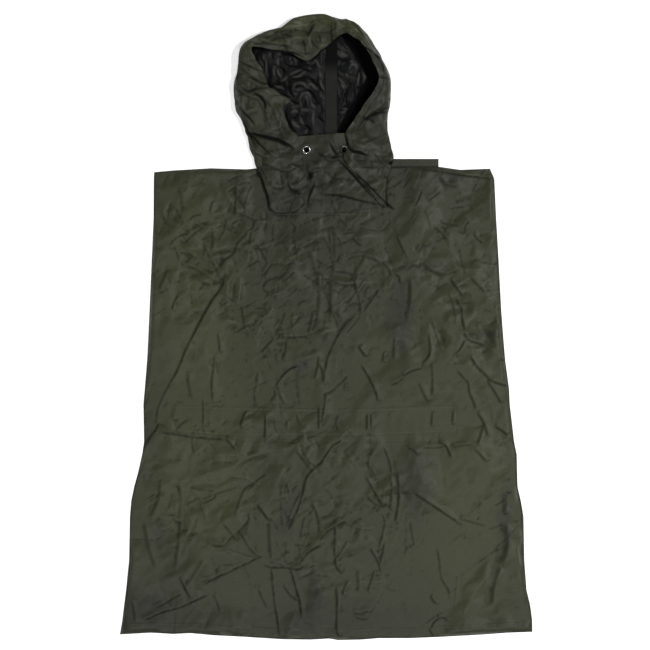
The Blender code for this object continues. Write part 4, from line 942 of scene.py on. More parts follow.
# Each half of the hood, from the crown seam down to the neck. A section runs from the edge of the
# face opening over the top, round the outline and back under to its floor end.
hood = {
    "seamX": 12.0,
    "seamClear": -0.3,  # the halves overlap a little where they are sewn
    "topSteps": 44,
    "rollSteps": 10,
    "floorSteps": 84,
    "alongSteps": 280,
    "topReach": 0.45,  # how far the top runs level from its edge, as a share of its width
    "sideReach": 0.9,  # how high the side stands upright, as a share of its height
    "edgeStray": [(2.2, 26, 81), (1.8, 30, 82)],  # how far the edge strays sideways and up, size, seed
    "casing": 13.0,  # turned hem of the face opening
    "casingEdge": 1.8,
    "casingStep": 0.7,
    "casingShade": 0.35,
    "clearance": 2.6,  # least height of the top over the floor
    "topEnd": 0.72,  # the top's relief fades out from here to the outline
    "floorFade": 8,  # rows over which the floor's folds begin
    "neckRelief": 0.55,  # share of the relief that is left at the neck
    "wallRelief": 0.8,
    "wallShift": (1.5, 1.2, 60.0),  # the wall reads the relief aside: x, y by shares of z, and x by 60
    "rimShade": (0.88, 0.65),  # the roll turns away from the light: from here on, and how much
    "flatCentre": (7, 24, 0.12),  # the lining lies flat along its seam: from here to there, and its share
    "flatNeck": (376, 408),
    # length, width, slope, heading, seed
    "liningFolds": [(70, 44, 0.06, 70, 31), (42, 24, 0.10, 25, 32), (26, 14, 0.14, 115, 33),
                    (15, 8, 0.12, 60, 34)],
    "liningRise": 4.0,
    "swirl": 16,  # how far the lining's folds are swirled
    "swirlNoises": [(52, 35), (52, 36)],
    "liningMap": {"left": -215.0, "bottom": 340.0, "right": 165.0, "top": 725.0, "step": 0.8},
    # deep shade inside the right rim: x, y, width
    "deep": [(48, 676, 16), (92, 639, 33), (108, 605, 27), (122, 573, 27), (108, 540, 30), (85, 506, 26),
             (60, 470, 24), (45, 446, 20)],
    "deepShade": 0.97,
    "deepEdge": 4.0,
    # outline x, y, edge x, y, z, roll radius, floor height, floor end x, y, z
    "left": [
        (12, 714, 12, 655, 38, 17, 0, 12, 655, 0), (-14, 720, -9, 637, 30, 17, 0, 12, 640, 0),
        (-44, 717, -41, 611, 22, 17, 0, 12, 620, 0), (-74, 710, -64, 619, 24, 17, 0, 12, 600, 0),
        (-104, 694, -84, 630, 28, 17, 0, 12, 578, 0), (-147, 678, -122, 636, 31, 16, 0, 12, 550, 0),
        (-180, 653, -169, 641, 33, 14, 0, 12, 520, 0), (-196, 625, -163, 617, 33, 14, 0, 12, 490, 0),
        (-203, 591, -146, 588, 30, 14, 0, 12, 460, 0), (-207, 549, -127, 548, 25, 14, 0, 12, 430, 0),
        (-204, 523, -83, 521, 21, 14, 0, 12, 415, 0), (-200, 499, -96, 503, 20, 13, 0, 12, 400, 0),
        (-187, 450, -84, 459, 17, 10, 0, 12, 366.7, 0), (-176, 416, -66, 437, 15, 8, 0, -60, 366.2, 0),
        (-166, 390, -84, 409, 15, 7, 0, -112, 365.8, 0.6),
        (-158, 366, -102, 374, 14, 5.5, 5.4, -132, 365.6, 5.4),
        (-141, 318, -112, 318, 12, 4, 5.4, -129, 318, 5.4),
        (-130, 270, -117, 268, 10.5, 2.7, 5.4, -124, 269, 5.4),
    ],
    "right": [
        (12, 714, 12, 655, 38, 17, 0, 12, 655, 0), (32, 711, 30, 668, 42, 17, 0, 12, 640, 0),
        (50, 710, 46, 673, 45, 17, 0, 12, 620, 0), (69, 699, 60, 666, 46, 17, 0, 12, 600, 0),
        (92, 676, 78, 653, 48, 16, 0, 12, 578, 0), (108, 647, 95, 633, 50, 15, 0, 12, 550, 0),
        (124, 620, 106, 608, 51, 15, 0, 12, 520, 0), (144, 577, 121, 573, 50, 14, 0, 12, 490, 0),
        (143, 527, 108, 540, 45, 14, 0, 12, 460, 0), (138, 488, 85, 506, 40, 13, 0, 12, 430, 0),
        (140, 450, 60, 470, 28, 9, 0, 12, 400, 0), (149, 414, 45, 446, 20, 6, 0, 12, 366.7, 0),
        (155, 396, 50, 414, 18, 5, 0, 60, 367.2, 0), (155, 384, 40, 388, 17.5, 5, 0, 122, 367.8, 0.6),
        (149, 366, 60, 361, 16, 5, 5.4, 136, 367.9, 5.4), (141, 322, 96, 322, 14, 4, 5.4, 134, 322, 5.4),
        (143, 274, 126, 278, 10.5, 2.7, 5.4, 135, 275, 5.4),
    ],
}


# ridges of the lining with a painted highlight along them: half width, strength, then points x, y
liningRidges = [
    (1.4, 0.8, -144, 628, -144, 614), (1.4, 0.9, -138, 612, -138, 596, -139, 582),
    (1.3, 0.7, -131, 632, -131, 619), (1.6, 1, -120, 600, -121, 589, -120, 577),
    (1.8, 1, -114, 593, -111, 584, -104, 574), (1.6, 0.7, -120, 601, -108, 597),
    (2, 0.9, -114, 628, -103, 627), (2.4, 0.8, -109, 621, -112, 610, -109, 601),
    (1.6, 1, -105, 565, -97, 569, -89, 577), (1.2, 0.7, -92, 568, -90, 558),
    (2.4, 1, -120, 557, -113, 552, -104, 551, -98, 546), (1.4, 0.8, -123, 550, -118, 543, -107, 539),
    (1.3, 0.8, -83, 622, -83, 612), (1.5, 0.8, -76, 620, -70, 613), (1.2, 0.8, -80, 611, -81, 603),
    (1.7, 1, -84, 581, -74, 585, -65, 589, -53, 592), (2, 1, -77, 576, -67, 575, -55, 582, -47, 588),
    (1.2, 0.9, -40, 596, -37, 592), (1.3, 0.7, -46, 606, -40, 608),
    (1.8, 0.9, -32, 605, -24, 613, -20, 605, -15, 597),
    (2.1, 1, -76, 549, -72, 558, -61, 561, -52, 559, -46, 552, -39, 550),
    (1.4, 0.8, -72, 547, -62, 545, -52, 549), (1.9, 1, -43, 553, -35, 558, -28, 552, -19, 545),
    (1.7, 1, -15, 588, -14, 574), (2.1, 0.8, -15, 568, -11, 557, -5, 545), (1.6, 0.7, -14, 540, -12, 529),
    (1.9, 0.8, -60, 511, -59, 527, -55, 535, -46, 539, -39, 534, -36, 522, -35, 508),
    (1.5, 0.9, -52, 526, -47, 531, -43, 522, -42, 508), (1.6, 0.8, -76, 537, -67, 535),
    (3.2, 0.8, -57, 500, -40, 499), (2.3, 1, -81, 493, -73, 498, -66, 494),
    (1.6, 0.8, -80, 505, -69, 507, -61, 514), (1.9, 1, -35, 516, -27, 504),
    (3.6, 0.8, -78, 476, -74, 467, -62, 459), (3, 0.6, -60, 477, -53, 467),
    (1.6, 1, -29, 496, -31, 481, -30, 466), (1.2, 0.8, -52, 444, -45, 452, -45, 440),
    (1.2, 0.7, 2, 460, 4, 444), (1.6, 0.9, 29, 589, 37, 578, 49, 566), (1.6, 0.8, 26, 575, 35, 565, 46, 552),
    (2.2, 0.9, 35, 559, 41, 549), (2.2, 0.6, 45, 584, 50, 573), (1.4, 1, 55, 611, 61, 610),
    (2.6, 0.8, 56, 599, 64, 605, 70, 596), (1.6, 1, 76, 584, 75, 573, 72, 558),
    (2.8, 0.8, 84, 585, 89, 573, 86, 559), (1.3, 0.6, 78, 545, 79, 536),
    (1.4, 0.8, 70, 527, 66, 515, 62, 504), (1.8, 1, 38, 502, 48, 501), (1.4, 0.8, 56, 502, 62, 504),
    (1.9, 0.8, 30, 492, 45, 496), (2, 0.8, 34, 471, 41, 482, 48, 490), (1.7, 1, 16, 614, 19, 600),
    (1.7, 0.6, 6, 621, 16, 614), (1.5, 0.6, 31, 613, 27, 600), (1.6, 0.6, 26, 564, 29, 545, 33, 527),
    (5.5, 0.7, 19, 636, 34, 628, 47, 624), (4, 0.45, 20, 656, 32, 644, 48, 635),
    (1.5, 0.5, 41, 651, 55, 637, 64, 623), (2, 0.9, -162, 636, -164, 624), (4, 0.35, -159, 612, -147, 600),
]

# its folds, painted with shade: half width, then points x, y
liningLines = [
    (1.3, -172, 642, -159, 640, -145, 637, -127, 634, -108, 631), (2.6, -106, 630, -92, 627, -75, 623),
    (1.6, -78, 627, -67, 618, -53, 609, -42, 607), (1.6, -39, 610, -28, 620, -16, 632, -7, 638),
    (2.2, -14, 639, -3, 642, 9, 645), (1.3, -150, 632, -150, 619, -142, 605, -142, 586),
    (1.3, -134, 614, -132, 591, -128, 564), (1.4, -123, 632, -123, 614),
    (1.5, -124, 605, -115, 601, -104, 596, -95, 588), (2.4, -104, 597, -97, 589, -98, 582),
    (1.4, -116, 593, -114, 582, -108, 572), (1.7, -99, 621, -95, 607, -78, 599, -60, 600, -46, 603, -30, 600),
    (2.3, -62, 595, -49, 592, -35, 588), (1.4, -78, 579, -69, 581, -58, 587),
    (2, -83, 569, -69, 570, -53, 573, -39, 578), (2.8, -85, 559, -83, 543, -76, 531),
    (2.8, -42, 573, -30, 566, -21, 554), (1.4, -20, 577, -20, 564, -14, 549, -6, 542),
    (1.3, -127, 557, -115, 558, -101, 559, -91, 554), (1.4, -69, 552, -59, 554, -50, 550),
    (2.5, -54, 543, -40, 544, -31, 536, -24, 524, -16, 511), (1.3, -49, 523, -47, 508),
    (1.4, -124, 536, -108, 536, -95, 532, -83, 527), (2.4, -81, 521, -70, 516, -61, 511),
    (2.6, -89, 509, -92, 494, -89, 478, -81, 462, -70, 448), (1.5, -61, 506, -63, 492, -73, 482, -83, 484),
    (1.3, -58, 490, -53, 480), (3, -49, 466, -39, 458, -35, 451), (1.6, -40, 453, -42, 444, -53, 439),
    (2.6, -19, 485, -12, 478, -5, 471), (1.4, -11, 511, -9, 494), (1.4, 32, 582, 42, 572, 54, 561),
    (1.4, 25, 582, 24, 559), (1.2, 55, 564, 50, 550, 43, 534, 39, 520, 34, 508),
    (1.3, 64, 561, 65, 545, 66, 529, 60, 508), (1.4, 69, 551, 83, 551), (1.3, 80, 586, 78, 559),
    (1.6, 34, 611, 46, 612, 55, 616), (1.6, 11, 489, 25, 489, 35, 494), (1.2, 16, 597, 25, 597),
    (1.2, 12, 630, 23, 619, 39, 615, 55, 621), (1.3, 46, 545, 47, 522, 49, 504),
]


def makeLiningMaps():
    # layers of facet noise, swirled by a smooth noise, then the listed ridges and folds
    maps = emptyMaps(hood["liningMap"])
    x, y = maps["x"], maps["y"]
    swirlX, swirlY = (hood["swirl"] * latticeNoise(x, y, *pair) for pair in hood["swirlNoises"])
    maps["relief"] += hood["liningRise"]
    for length, width, slope, heading, seed in hood["liningFolds"]:
        u, v = turnedGrid(x + swirlX, y + swirlY, length, width, heading)
        maps["relief"] += slope * width * facetNoise(u, v, seed)
    for width, strength, *points in liningRidges:
        drawLine(maps, "crest", width, strength, points, -press["foldDepth"])
    for width, *points in liningLines:
        drawLine(maps, "shade", width, 1.0, points, press["foldDepth"])
    maps["relief"] = np.maximum(maps["relief"], 0.1 * maps["relief"])  # dips under the floor are flattened
    for key, passes in (("relief", 6), ("shade", 3), ("crest", 3)):
        maps[key] = soften(maps[key], passes)
    return maps


def floorCrumple(x, y):
    # height of the lining on the hood's floor, flat along the centre seam and at the neck
    near, far, share = hood["flatCentre"]
    seam = share + (1 - share) * smoothStep(near, far, np.abs(x - hood["seamX"]))
    return mapAt(liningMaps, "relief", x, y) * seam * smoothStep(*hood["flatNeck"], y)


def deepShade(x, y):
    # 1 within the table's width of the rim's line, fading out over twice the soft edge
    rows = hood["deep"]
    path = straightRows(rows, np.linspace(0, len(rows) - 1, 61))
    away, number = nearestOf(path, x, y)
    width = path[number, 2]
    return smoothStep(width + hood["deepEdge"], width - hood["deepEdge"], away)


def hoodHalf(rows):
    # outer points (around, along, 3): cubic curve from the edge over the top to the outline, quarter
    # round under it, straight floor run to the floor end
    at = np.linspace(0, len(rows) - 1, hood["alongSteps"] + 1)
    curved = readRows([row[:6] for row in rows], at)
    straight = straightRows([row[6:] for row in rows], at)
    outline, edge, roll = curved[:, :2], curved[:, 2:5].copy(), curved[:, 5]
    floor, floorEnd = straight[:, 0], straight[:, 1:4]
    wave = smoothStep(0, 1.2, at)  # the edge itself runs a little unevenly
    for axis, sign, (stray, *strayNoise) in zip((0, 2), (1, -1), hood["edgeStray"]):
        across, up = edge[:, 0] + sign * edge[:, 1], edge[:, 1] - sign * edge[:, 0]
        edge[:, axis] += wave * stray * latticeNoise(across, up, *strayNoise)
    crest = np.maximum(edge[:, 2], floor + 2 * roll)
    sideTop = np.column_stack([outline, floor + roll])
    over = np.column_stack([edge[:, :2] + hood["topReach"] * (outline - edge[:, :2]), crest])
    above = np.column_stack([outline, sideTop[:, 2] + hood["sideReach"] * (crest - sideTop[:, 2])])
    inward = floorEnd[:, :2] - outline
    inward = inward / np.linalg.norm(inward, axis=1)[:, None]
    t = np.linspace(0, 1, hood["topSteps"] + 1)[:, None, None]
    top = (1 - t) ** 3 * edge + 3 * (1 - t) ** 2 * t * over + 3 * (1 - t) * t * t * above + t ** 3 * sideTop
    angle = np.linspace(0, math.pi / 2, hood["rollSteps"] + 1)[1:, None]
    around = outline + inward * (roll * (1 - np.cos(angle)))[..., None]
    under = np.concatenate([around, (floor + roll * (1 - np.sin(angle)))[..., None]], axis=-1)
    s = np.linspace(0, 1, hood["floorSteps"] + 1)[1:, None, None]
    run = under[-1] + s * (floorEnd - under[-1])
    return np.concatenate([top, under, run]), at


def outwardNormals(points):
    # unit cross product of the grid's two directions, turned to look up on the top and level at the seam
    normal = np.cross(np.gradient(points, axis=1), np.gradient(points, axis=0))
    normal = normal / np.maximum(np.linalg.norm(normal, axis=2)[..., None], 1e-9)
    if normal[:(hood["topSteps"] + 1) // 2, :, 2].mean() < 0:
        normal = -normal
    normal[:, 0, 0] = 0
    return normal


def runLengths(points):
    # length along each of the grid's lines from its first point
    steps = np.diff(points, axis=0, prepend=points[:1])
    return np.cumsum(np.linalg.norm(steps, axis=-1), axis=0)


def buildHood(name, side):
    # the half's skin raised by the relief along its normals, its floor by the lining's, and a wall inside it
    rows = hood[side]
    last, topCount = len(rows) - 1, hood["topSteps"] + 1
    outer, at = hoodHalf(rows)
    number = np.arange(len(outer))[:, None]
    part = number / hood["topSteps"]  # 0 at the face opening, 1 at the outline
    floorStart = topCount + hood["rollSteps"] + 1
    onTop = 1 - smoothStep(hood["topEnd"], 1.0, part)
    onFloor = smoothStep(floorStart, floorStart + hood["floorFade"], number)
    x, y, z = outer[..., 0], outer[..., 1], outer[..., 2]
    neck = smoothStep(last, last - 3.5, at)[None, :]  # flatter down to the neck
    shiftX, shiftY, startX = hood["wallShift"]
    wall = hood["wallRelief"] * reliefAt(x + shiftX * z + startX, y + shiftY * z) * neck
    top = reliefAt(x, y) * (hood["neckRelief"] + (1 - hood["neckRelief"]) * neck)
    lift = onTop * top + (1 - onTop) * (1 - onFloor) * wall
    normal = outwardNormals(outer)
    outer = outer + normal * (lift * (1 - onFloor))[..., None]
    outer[..., 2] += floorCrumple(x, y) * onFloor * (z < 6)
    outer[..., 2] = np.maximum(outer[..., 2], np.where(z < 5, 0.0, 0.2))
    clearance = z[-1] + hood["clearance"] * smoothStep(0.9, 0.7, part)
    outer[:topCount, :, 2] = np.maximum(outer[:topCount, :, 2], clearance[:topCount])
    # casing along the face opening: a shallow step at its inner edge
    opening = smoothStep(0.4, 1.5, at) * smoothStep(last - 2.5, last - 4.5, at)
    casing = np.zeros(x.shape)
    reach = runLengths(outer[:topCount])
    casing[:topCount] = opening * np.exp(-((reach - hood["casing"]) / hood["casingEdge"]) ** 2)
    outer -= normal * (hood["casingStep"] * casing)[..., None]
    normal = outwardNormals(outer)
    normal[-1] = (0, 0, -1)
    normal = normal / np.linalg.norm(normal, axis=2)[..., None]
    outer[:, 0, 0] = hood["seamX"]
    inner = outer - garment["cloth"] * normal
    for skin in (outer, inner):
        skin[..., 0] += hood["seamClear"] if side == "right" else -hood["seamClear"]
    outside = np.maximum(mapAt(maps, "shade", x, y), hood["casingShade"] * casing)
    rimStart, rimShade = hood["rimShade"]
    outside = np.maximum(outside, rimShade * smoothStep(rimStart, 1.0, part))
    inside = np.maximum(hood["deepShade"] * deepShade(x, y), mapAt(liningMaps, "shade", x, y))
    values = {
        "shade": outside * (1 - onFloor) + inside * onFloor,
        "tone": mapAt(maps, "tone", x, y) * (1 - onFloor),
        "crest": mapAt(maps, "crest", x, y) * onTop + mapAt(liningMaps, "crest", x, y) * onFloor,
    }
    along = runLengths(outer[topCount - 1])
    cloth = np.stack([runLengths(outer), np.broadcast_to(along, x.shape)], axis=-1)
    if side == "left":
        outer, inner, cloth = outer[:, ::-1], inner[:, ::-1], cloth[:, ::-1]
        values = {key: value[:, ::-1] for key, value in values.items()}
    return closedSheet(name, outer, inner, clothAndLining, fields=values, cloth=cloth)


throat = {
    "tuck": 8.0,  # it reaches this far under the hood's edges
    "columns": 112,
    "rows": 82,
    "topLeft": 437.0,
    "topRight": 446.0,
    # y, height on the left, height on the right
    "heights": [(262, 3.4, 3.4), (285, 5.4, 5.8), (318, 9.0, 10.4), (370, 12.4, 12.8), (410, 13.4, 13.8),
                (446, 12.8, 14.6)],
    "lowest": 2.7,
    "calm": (268, 300, 0.3),  # calm by the neck seam: from here to there, and its share
    "reliefShare": 0.85,
    "eyelets": {"eyelet_left": (-45.0, 407.0), "eyelet_right": (41.0, 407.0)},
    "holeRadius": 6.0,
    "flatRadius": 11.0,
    "flatFade": 8.0,
}


def throatBase(x, y):
    # height table's two columns, blended across the notch
    part = np.clip((x - garment["notchLeft"]) / (garment["notchRight"] - garment["notchLeft"]), 0, 1)
    left, right = lineAt(throat["heights"], y), lineAt(throat["heights"], y, 2)
    return left + part * (right - left)


def throatTop(x, y):
    # height table + relief, calm by the neck seam and flat round the eyelets
    low, high, share = throat["calm"]
    calm = share + (1 - share) * smoothStep(low, high, y)
    z = throatBase(x, y) + calm * reliefAt(x, y) * throat["reliefShare"]
    for node, (eyeletX, eyeletY) in throat["eyelets"].items():
        away = np.hypot(x - eyeletX, y - eyeletY)
        near = 1 - smoothStep(throat["flatRadius"], throat["flatRadius"] + throat["flatFade"], away)
        slopeX, slopeY = eyelet["tilt"][node]
        flat = throatBase(eyeletX, eyeletY) + slopeX * (x - eyeletX) + slopeY * (y - eyeletY)
        z = z + near * (flat - z)
    return np.maximum(z, throat["lowest"])


def edgeAt(rows, y):
    # x of a hood half's lower edge at height y
    return lineAt([(row[3], row[2]) for row in rows[::-1]], y)


def buildThroat():
    # a grid between the hood's two edges, its points drawn to a ring round each eyelet's hole
    low = garment["notchBottom"] + 0.3
    u, v = np.linspace(0, 1, throat["columns"])[None, :], np.linspace(0, 1, throat["rows"])[:, None]
    leftY, rightY = low + v * (throat["topLeft"] - low), low + v * (throat["topRight"] - low)
    leftX = np.maximum(edgeAt(hood["left"][-5:], leftY) - throat["tuck"], garment["notchLeft"] + 0.6)
    rightX = np.minimum(edgeAt(hood["right"][-6:], rightY) + throat["tuck"], garment["notchRight"] - 0.6)
    x, y = leftX + u * (rightX - leftX), leftY + u * (rightY - leftY)
    keep = np.ones((x.shape[0] - 1, x.shape[1] - 1), dtype=bool)
    hole = throat["holeRadius"]
    for eyeletX, eyeletY in throat["eyelets"].values():
        middleX, middleY = (0.25 * (c[:-1, :-1] + c[1:, :-1] + c[:-1, 1:] + c[1:, 1:]) for c in (x, y))
        keep &= np.hypot(middleX - eyeletX, middleY - eyeletY) > hole
        away = np.hypot(x - eyeletX, y - eyeletY)
        scale = np.where(away < hole + 1.2, hole / np.maximum(away, 1e-6), 1)
        x, y = eyeletX + (x - eyeletX) * scale, eyeletY + (y - eyeletY) * scale
    top = np.stack([x, y, throatTop(x, y)], axis=-1)
    return closedSheet("throatPanel", top, top - (0, 0, garment["cloth"]), clothAndLining,
                       keep=keep, fields=fieldsAt(x, y))


tape = {
    "ends": (373.0, 671.0),
    "width": 26.0,
    "columns": 13,
    "rows": 150,
    "stray": (2.0, 38, 91),  # how far it strays sideways, size and seed
    "thickness": 0.8,
    "clear": 0.35,
    "flatTop": (663, 640),  # the lining under it lies flat from here down to there
    "span": 24,  # it spans hollows of so many rows
    "smoothing": 60,
    "crownShade": (575, 615, 0.9),  # its top lies deep under the crown
}


def buildTape():
    # smooth strip over the centre-back seam inside the hood; it lies on the highest of the lining near it
    u = np.linspace(-0.5, 0.5, tape["columns"])[None, :] * tape["width"]
    y = np.linspace(*tape["ends"], tape["rows"])[:, None] + 0 * u
    taper = np.clip((tape["ends"][1] - y) / 7, 0.4, 1)
    stray, *strayNoise = tape["stray"]
    x = hood["seamX"] + u * taper + stray * latticeNoise(y + 3 * u, 0.3 * u, *strayNoise)
    under = (floorCrumple(x, y) * smoothStep(*tape["flatTop"], y)).max(axis=1)
    highest = under
    for shift in range(1, tape["span"]):
        highest = np.maximum(highest, np.maximum(np.roll(under, shift), np.roll(under, -shift)))
    for _ in range(tape["smoothing"]):
        highest = np.convolve(np.pad(highest, 1, mode="edge"), (0.25, 0.5, 0.25), mode="valid")
    bottom = np.stack([x, y, highest[:, None] + garment["cloth"] + tape["clear"] + 0 * x], axis=-1)
    start, full, most = tape["crownShade"]
    return closedSheet("hoodSeamTape", bottom + (0, 0, tape["thickness"]), bottom, [finishes["tape"]],
                       fields={"shade": most * smoothStep(start, full, y) + 0 * x})


eyelet = {
    "segments": 64,
    # radius, height over the cloth, round the ring's section
    "section": [(5.1, -2.2), (5.1, -0.4), (5.3, 0.4), (5.8, 1.05), (6.5, 1.5), (7.3, 1.75), (8.1, 1.72),
                (8.8, 1.45), (9.4, 1.0), (9.8, 0.55), (9.95, 0.25), (9.8, 0.14), (5.9, 0.1), (5.6, -1.3),
                (8.6, -1.3), (8.6, -1.9), (5.6, -2.5)],
    "tilt": {"eyelet_left": (0.0, 0.03), "eyelet_right": (0.16, 0.14)},  # slope of the cloth under it
    # painted reflection: how dark each ring is painted away from its bright side
    "paintedDarkReflection": {"eyelet_left": 0.12, "eyelet_right": 1.0},
    "brightSide": 52.0,  # heading, in degrees, of the side not painted dark
    "paintedDarkRim": (7.6, 6.6),  # the inner rim is painted dark as a reflection from the first radius inwards
}


def buildEyelet(name, node, x, y):
    # the section turned once round the eyelet's axis and set to the slope of the cloth
    z = float(throatTop(np.array(x), np.array(y)))
    section = np.array(eyelet["section"])
    count = eyelet["segments"]
    angle = np.arange(count)[:, None] * math.tau / count
    ringX, ringY = np.cos(angle) * section[:, 0], np.sin(angle) * section[:, 0]
    slopeX, slopeY = eyelet["tilt"][node]
    points = np.stack([x + ringX, y + ringY, z + section[:, 1] + slopeX * ringX + slopeY * ringY], axis=-1)
    # painted dark reflection: dark but for the bright side, and on the inner rim
    brightSide = np.cos(angle - math.radians(eyelet["brightSide"]))
    paintedDarkReflection = eyelet["paintedDarkReflection"][node] * smoothStep(0.75, 0.1, brightSide)
    paintedDarkReflection = np.maximum(paintedDarkReflection, smoothStep(*eyelet["paintedDarkRim"], section[:, 0]))
    faces = ringQuads(count, len(section), True).tolist()
    piece = newPiece(name, points, faces, [finishes["metal"]], sharpFrom=48)
    setField(piece, "paintedDarkReflection", paintedDarkReflection)
    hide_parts(node)


thread = {
    "radius": 0.42,
    "length": 3.1,
    "pitch": 4.2,
    "sink": 0.1,
    "dip": 0.45,  # both ends of a stitch go into the cloth
    "sides": 6,
    "rings": 5,
    "step": 1.0,  # between the points of a row's line
}


def stitchRow(name, x, y, heightAt):
    # equal stitches along a line on a surface: each a small closed spindle that dips at both ends
    line = np.column_stack([x, y, heightAt(x, y)])
    run = np.concatenate([[0], np.cumsum(np.linalg.norm(np.diff(line, axis=0), axis=1))])
    centre = np.arange(thread["pitch"] / 2, run[-1] - thread["pitch"] / 2, thread["pitch"])
    ring = np.linspace(-1, 1, thread["rings"])
    at = centre[:, None] + ring * thread["length"] / 2
    spine = np.stack([np.interp(at, run, line[:, k]) for k in range(3)], axis=-1)
    spine[..., 2] += -thread["sink"] - thread["dip"] * ring ** 4
    heading = np.gradient(spine, axis=1)
    heading /= np.linalg.norm(heading, axis=2)[..., None]
    side = np.cross(heading, (0, 0, 1.0))
    side /= np.linalg.norm(side, axis=2)[..., None]
    up = np.cross(side, heading)
    radius = (thread["radius"] * np.sqrt(np.clip(1.04 - ring ** 4, 0.04, 1)))[None, :, None, None]
    angle = (np.arange(thread["sides"]) * math.tau / thread["sides"])[None, None, :, None]
    shell = spine[:, :, None] + radius * (np.cos(angle) * side[:, :, None] + np.sin(angle) * up[:, :, None])
    count, rings, sides = shell.shape[:3]
    first = (np.arange(count) * rings * sides)[:, None]
    quads = (first[..., None] + ringQuads(rings, sides, False)).reshape(-1, 4)
    ends = np.vstack([first + np.arange(sides)[::-1], first + (rings - 1) * sides + np.arange(sides)])
    faces = quads.tolist() + ends.tolist()
    newPiece(name, shell, faces, [finishes["thread"]])


# finishes: linear colours and their looks
looks = {
    "olive": (0.0436, 0.0474, 0.0256),
    # greyer and warmer colours mixed in by the tone field, which holds the cloth's own uneven tone and also
    # painted shade and highlight
    "oliveGrey": (0.0228, 0.0234, 0.0176),
    "oliveWarm": (0.0605, 0.0655, 0.0315),
    "oliveBrown": (0.048, 0.045, 0.027),
    "oliveGreen": (0.04, 0.052, 0.026),
    # painted shade: colour of the shade in creases, folds, fine crinkle edges and along edges
    "paintedShadeDark": (0.0012, 0.0012, 0.001),
    # painted highlight on crease tops, ridges and glints; also the lighter flecks of the cloth's grain
    "paintedHighlightAndGrain": (0.12, 0.128, 0.084),
    "liningDark": (0.0042, 0.0041, 0.004),
    "liningWorn": (0.0072, 0.0081, 0.0078),
    # painted highlight along the lining's ridges
    "liningPaintedHighlight": (0.064, 0.064, 0.059),
    # painted shade in the lining's folds, inside the right rim and on the tape under the crown
    "paintedDeepShade": (0.0008, 0.0008, 0.0008),
    "tapeDark": (0.0078, 0.0078, 0.0068),
    "tapeWorn": (0.0112, 0.0112, 0.0098),
    "threadLight": (0.165, 0.168, 0.12),
    "threadDull": (0.07, 0.072, 0.052),
    "metalBright": (0.72, 0.71, 0.68),
    "metalDull": (0.46, 0.45, 0.42),
    # painted dark reflection of the eyelets
    "metalReflectionDark": (0.06, 0.058, 0.052),
    "threads": 0.00062,  # pitch of the weave in metres
}


def feed(tree, node, inputs):
    # an input given as a socket is linked, anything else is its value
    for key, value in inputs.items():
        if isinstance(value, bpy.types.NodeSocket):
            tree.links.new(value, node.inputs[key])
        else:
            node.inputs[key].default_value = value
    return node


def addNode(tree, kind, inputs=None, **settings):
    node = tree.nodes.new(kind)
    for key, value in settings.items():
        setattr(node, key, value)
    return feed(tree, node, inputs or {})


def mathOf(tree, operation, first, second=0.0):
    return addNode(tree, "ShaderNodeMath", {0: first, 1: second}, operation=operation).outputs[0]


def blendOf(tree, mask, low, high):
    # low where the mask is 0, high where it is 1; either is a socket or a colour
    low, high = (value if isinstance(value, bpy.types.NodeSocket) else (*value, 1.0) for value in (low, high))
    return addNode(tree, "ShaderNodeMix", {"Factor": mask, 6: low, 7: high}, data_type="RGBA").outputs[2]


def rangeOf(tree, value, low, high, toLow=0.0, toHigh=1.0):
    return addNode(tree, "ShaderNodeMapRange", {"Value": value, "From Min": low, "From Max": high,
                                                "To Min": toLow, "To Max": toHigh}).outputs[0]


def noiseOf(tree, vector, scale, detail, **inputs):
    return addNode(tree, "ShaderNodeTexNoise", {"Vector": vector, "Scale": scale, "Detail": detail, **inputs})


def bumpOf(tree, height, distance, strength, **inputs):
    inputs = {"Height": height, "Distance": distance, "Strength": strength, **inputs}
    return addNode(tree, "ShaderNodeBump", inputs).outputs[0]


def fieldOf(tree, name):
    return addNode(tree, "ShaderNodeAttribute", attribute_name=name).outputs["Fac"]


def nodeGroup(name, inputs, outputs):
    # an empty shader group with named sockets: it always reads the cloth's own coordinates
    group = bpy.data.node_groups.new(name, "ShaderNodeTree")
    group.interface.new_socket("Cloth", in_out="INPUT", socket_type="NodeSocketVector")
    for label, value in inputs.items():
        group.interface.new_socket(label, in_out="INPUT", socket_type="NodeSocketFloat").default_value = value
    for label in outputs:
        group.interface.new_socket(label, in_out="OUTPUT", socket_type="NodeSocketFloat")
    return group, group.nodes.new("NodeGroupInput").outputs, group.nodes.new("NodeGroupOutput")


def makeWeaveGroup():
    # plain weave: sin(pi u / pitch) * sin(pi v / pitch), with threads that differ a little in height
    group, source, sink = nodeGroup("plainWeave", {"Pitch": looks["threads"]}, ["Height"])
    parts = addNode(group, "ShaderNodeSeparateXYZ", {0: source["Cloth"]})
    rate = mathOf(group, "DIVIDE", math.pi, source["Pitch"])
    waves = [mathOf(group, "SINE", mathOf(group, "MULTIPLY", parts.outputs[k], rate)) for k in (0, 1)]
    cross = mathOf(group, "MULTIPLY", mathOf(group, "MULTIPLY", *waves), 0.5)
    slub = mathOf(group, "MULTIPLY", noiseOf(group, source["Cloth"], 420.0, 2.0).outputs[0], 0.8)
    feed(group, sink, {"Height": mathOf(group, "ADD", cross, slub)})
    return group


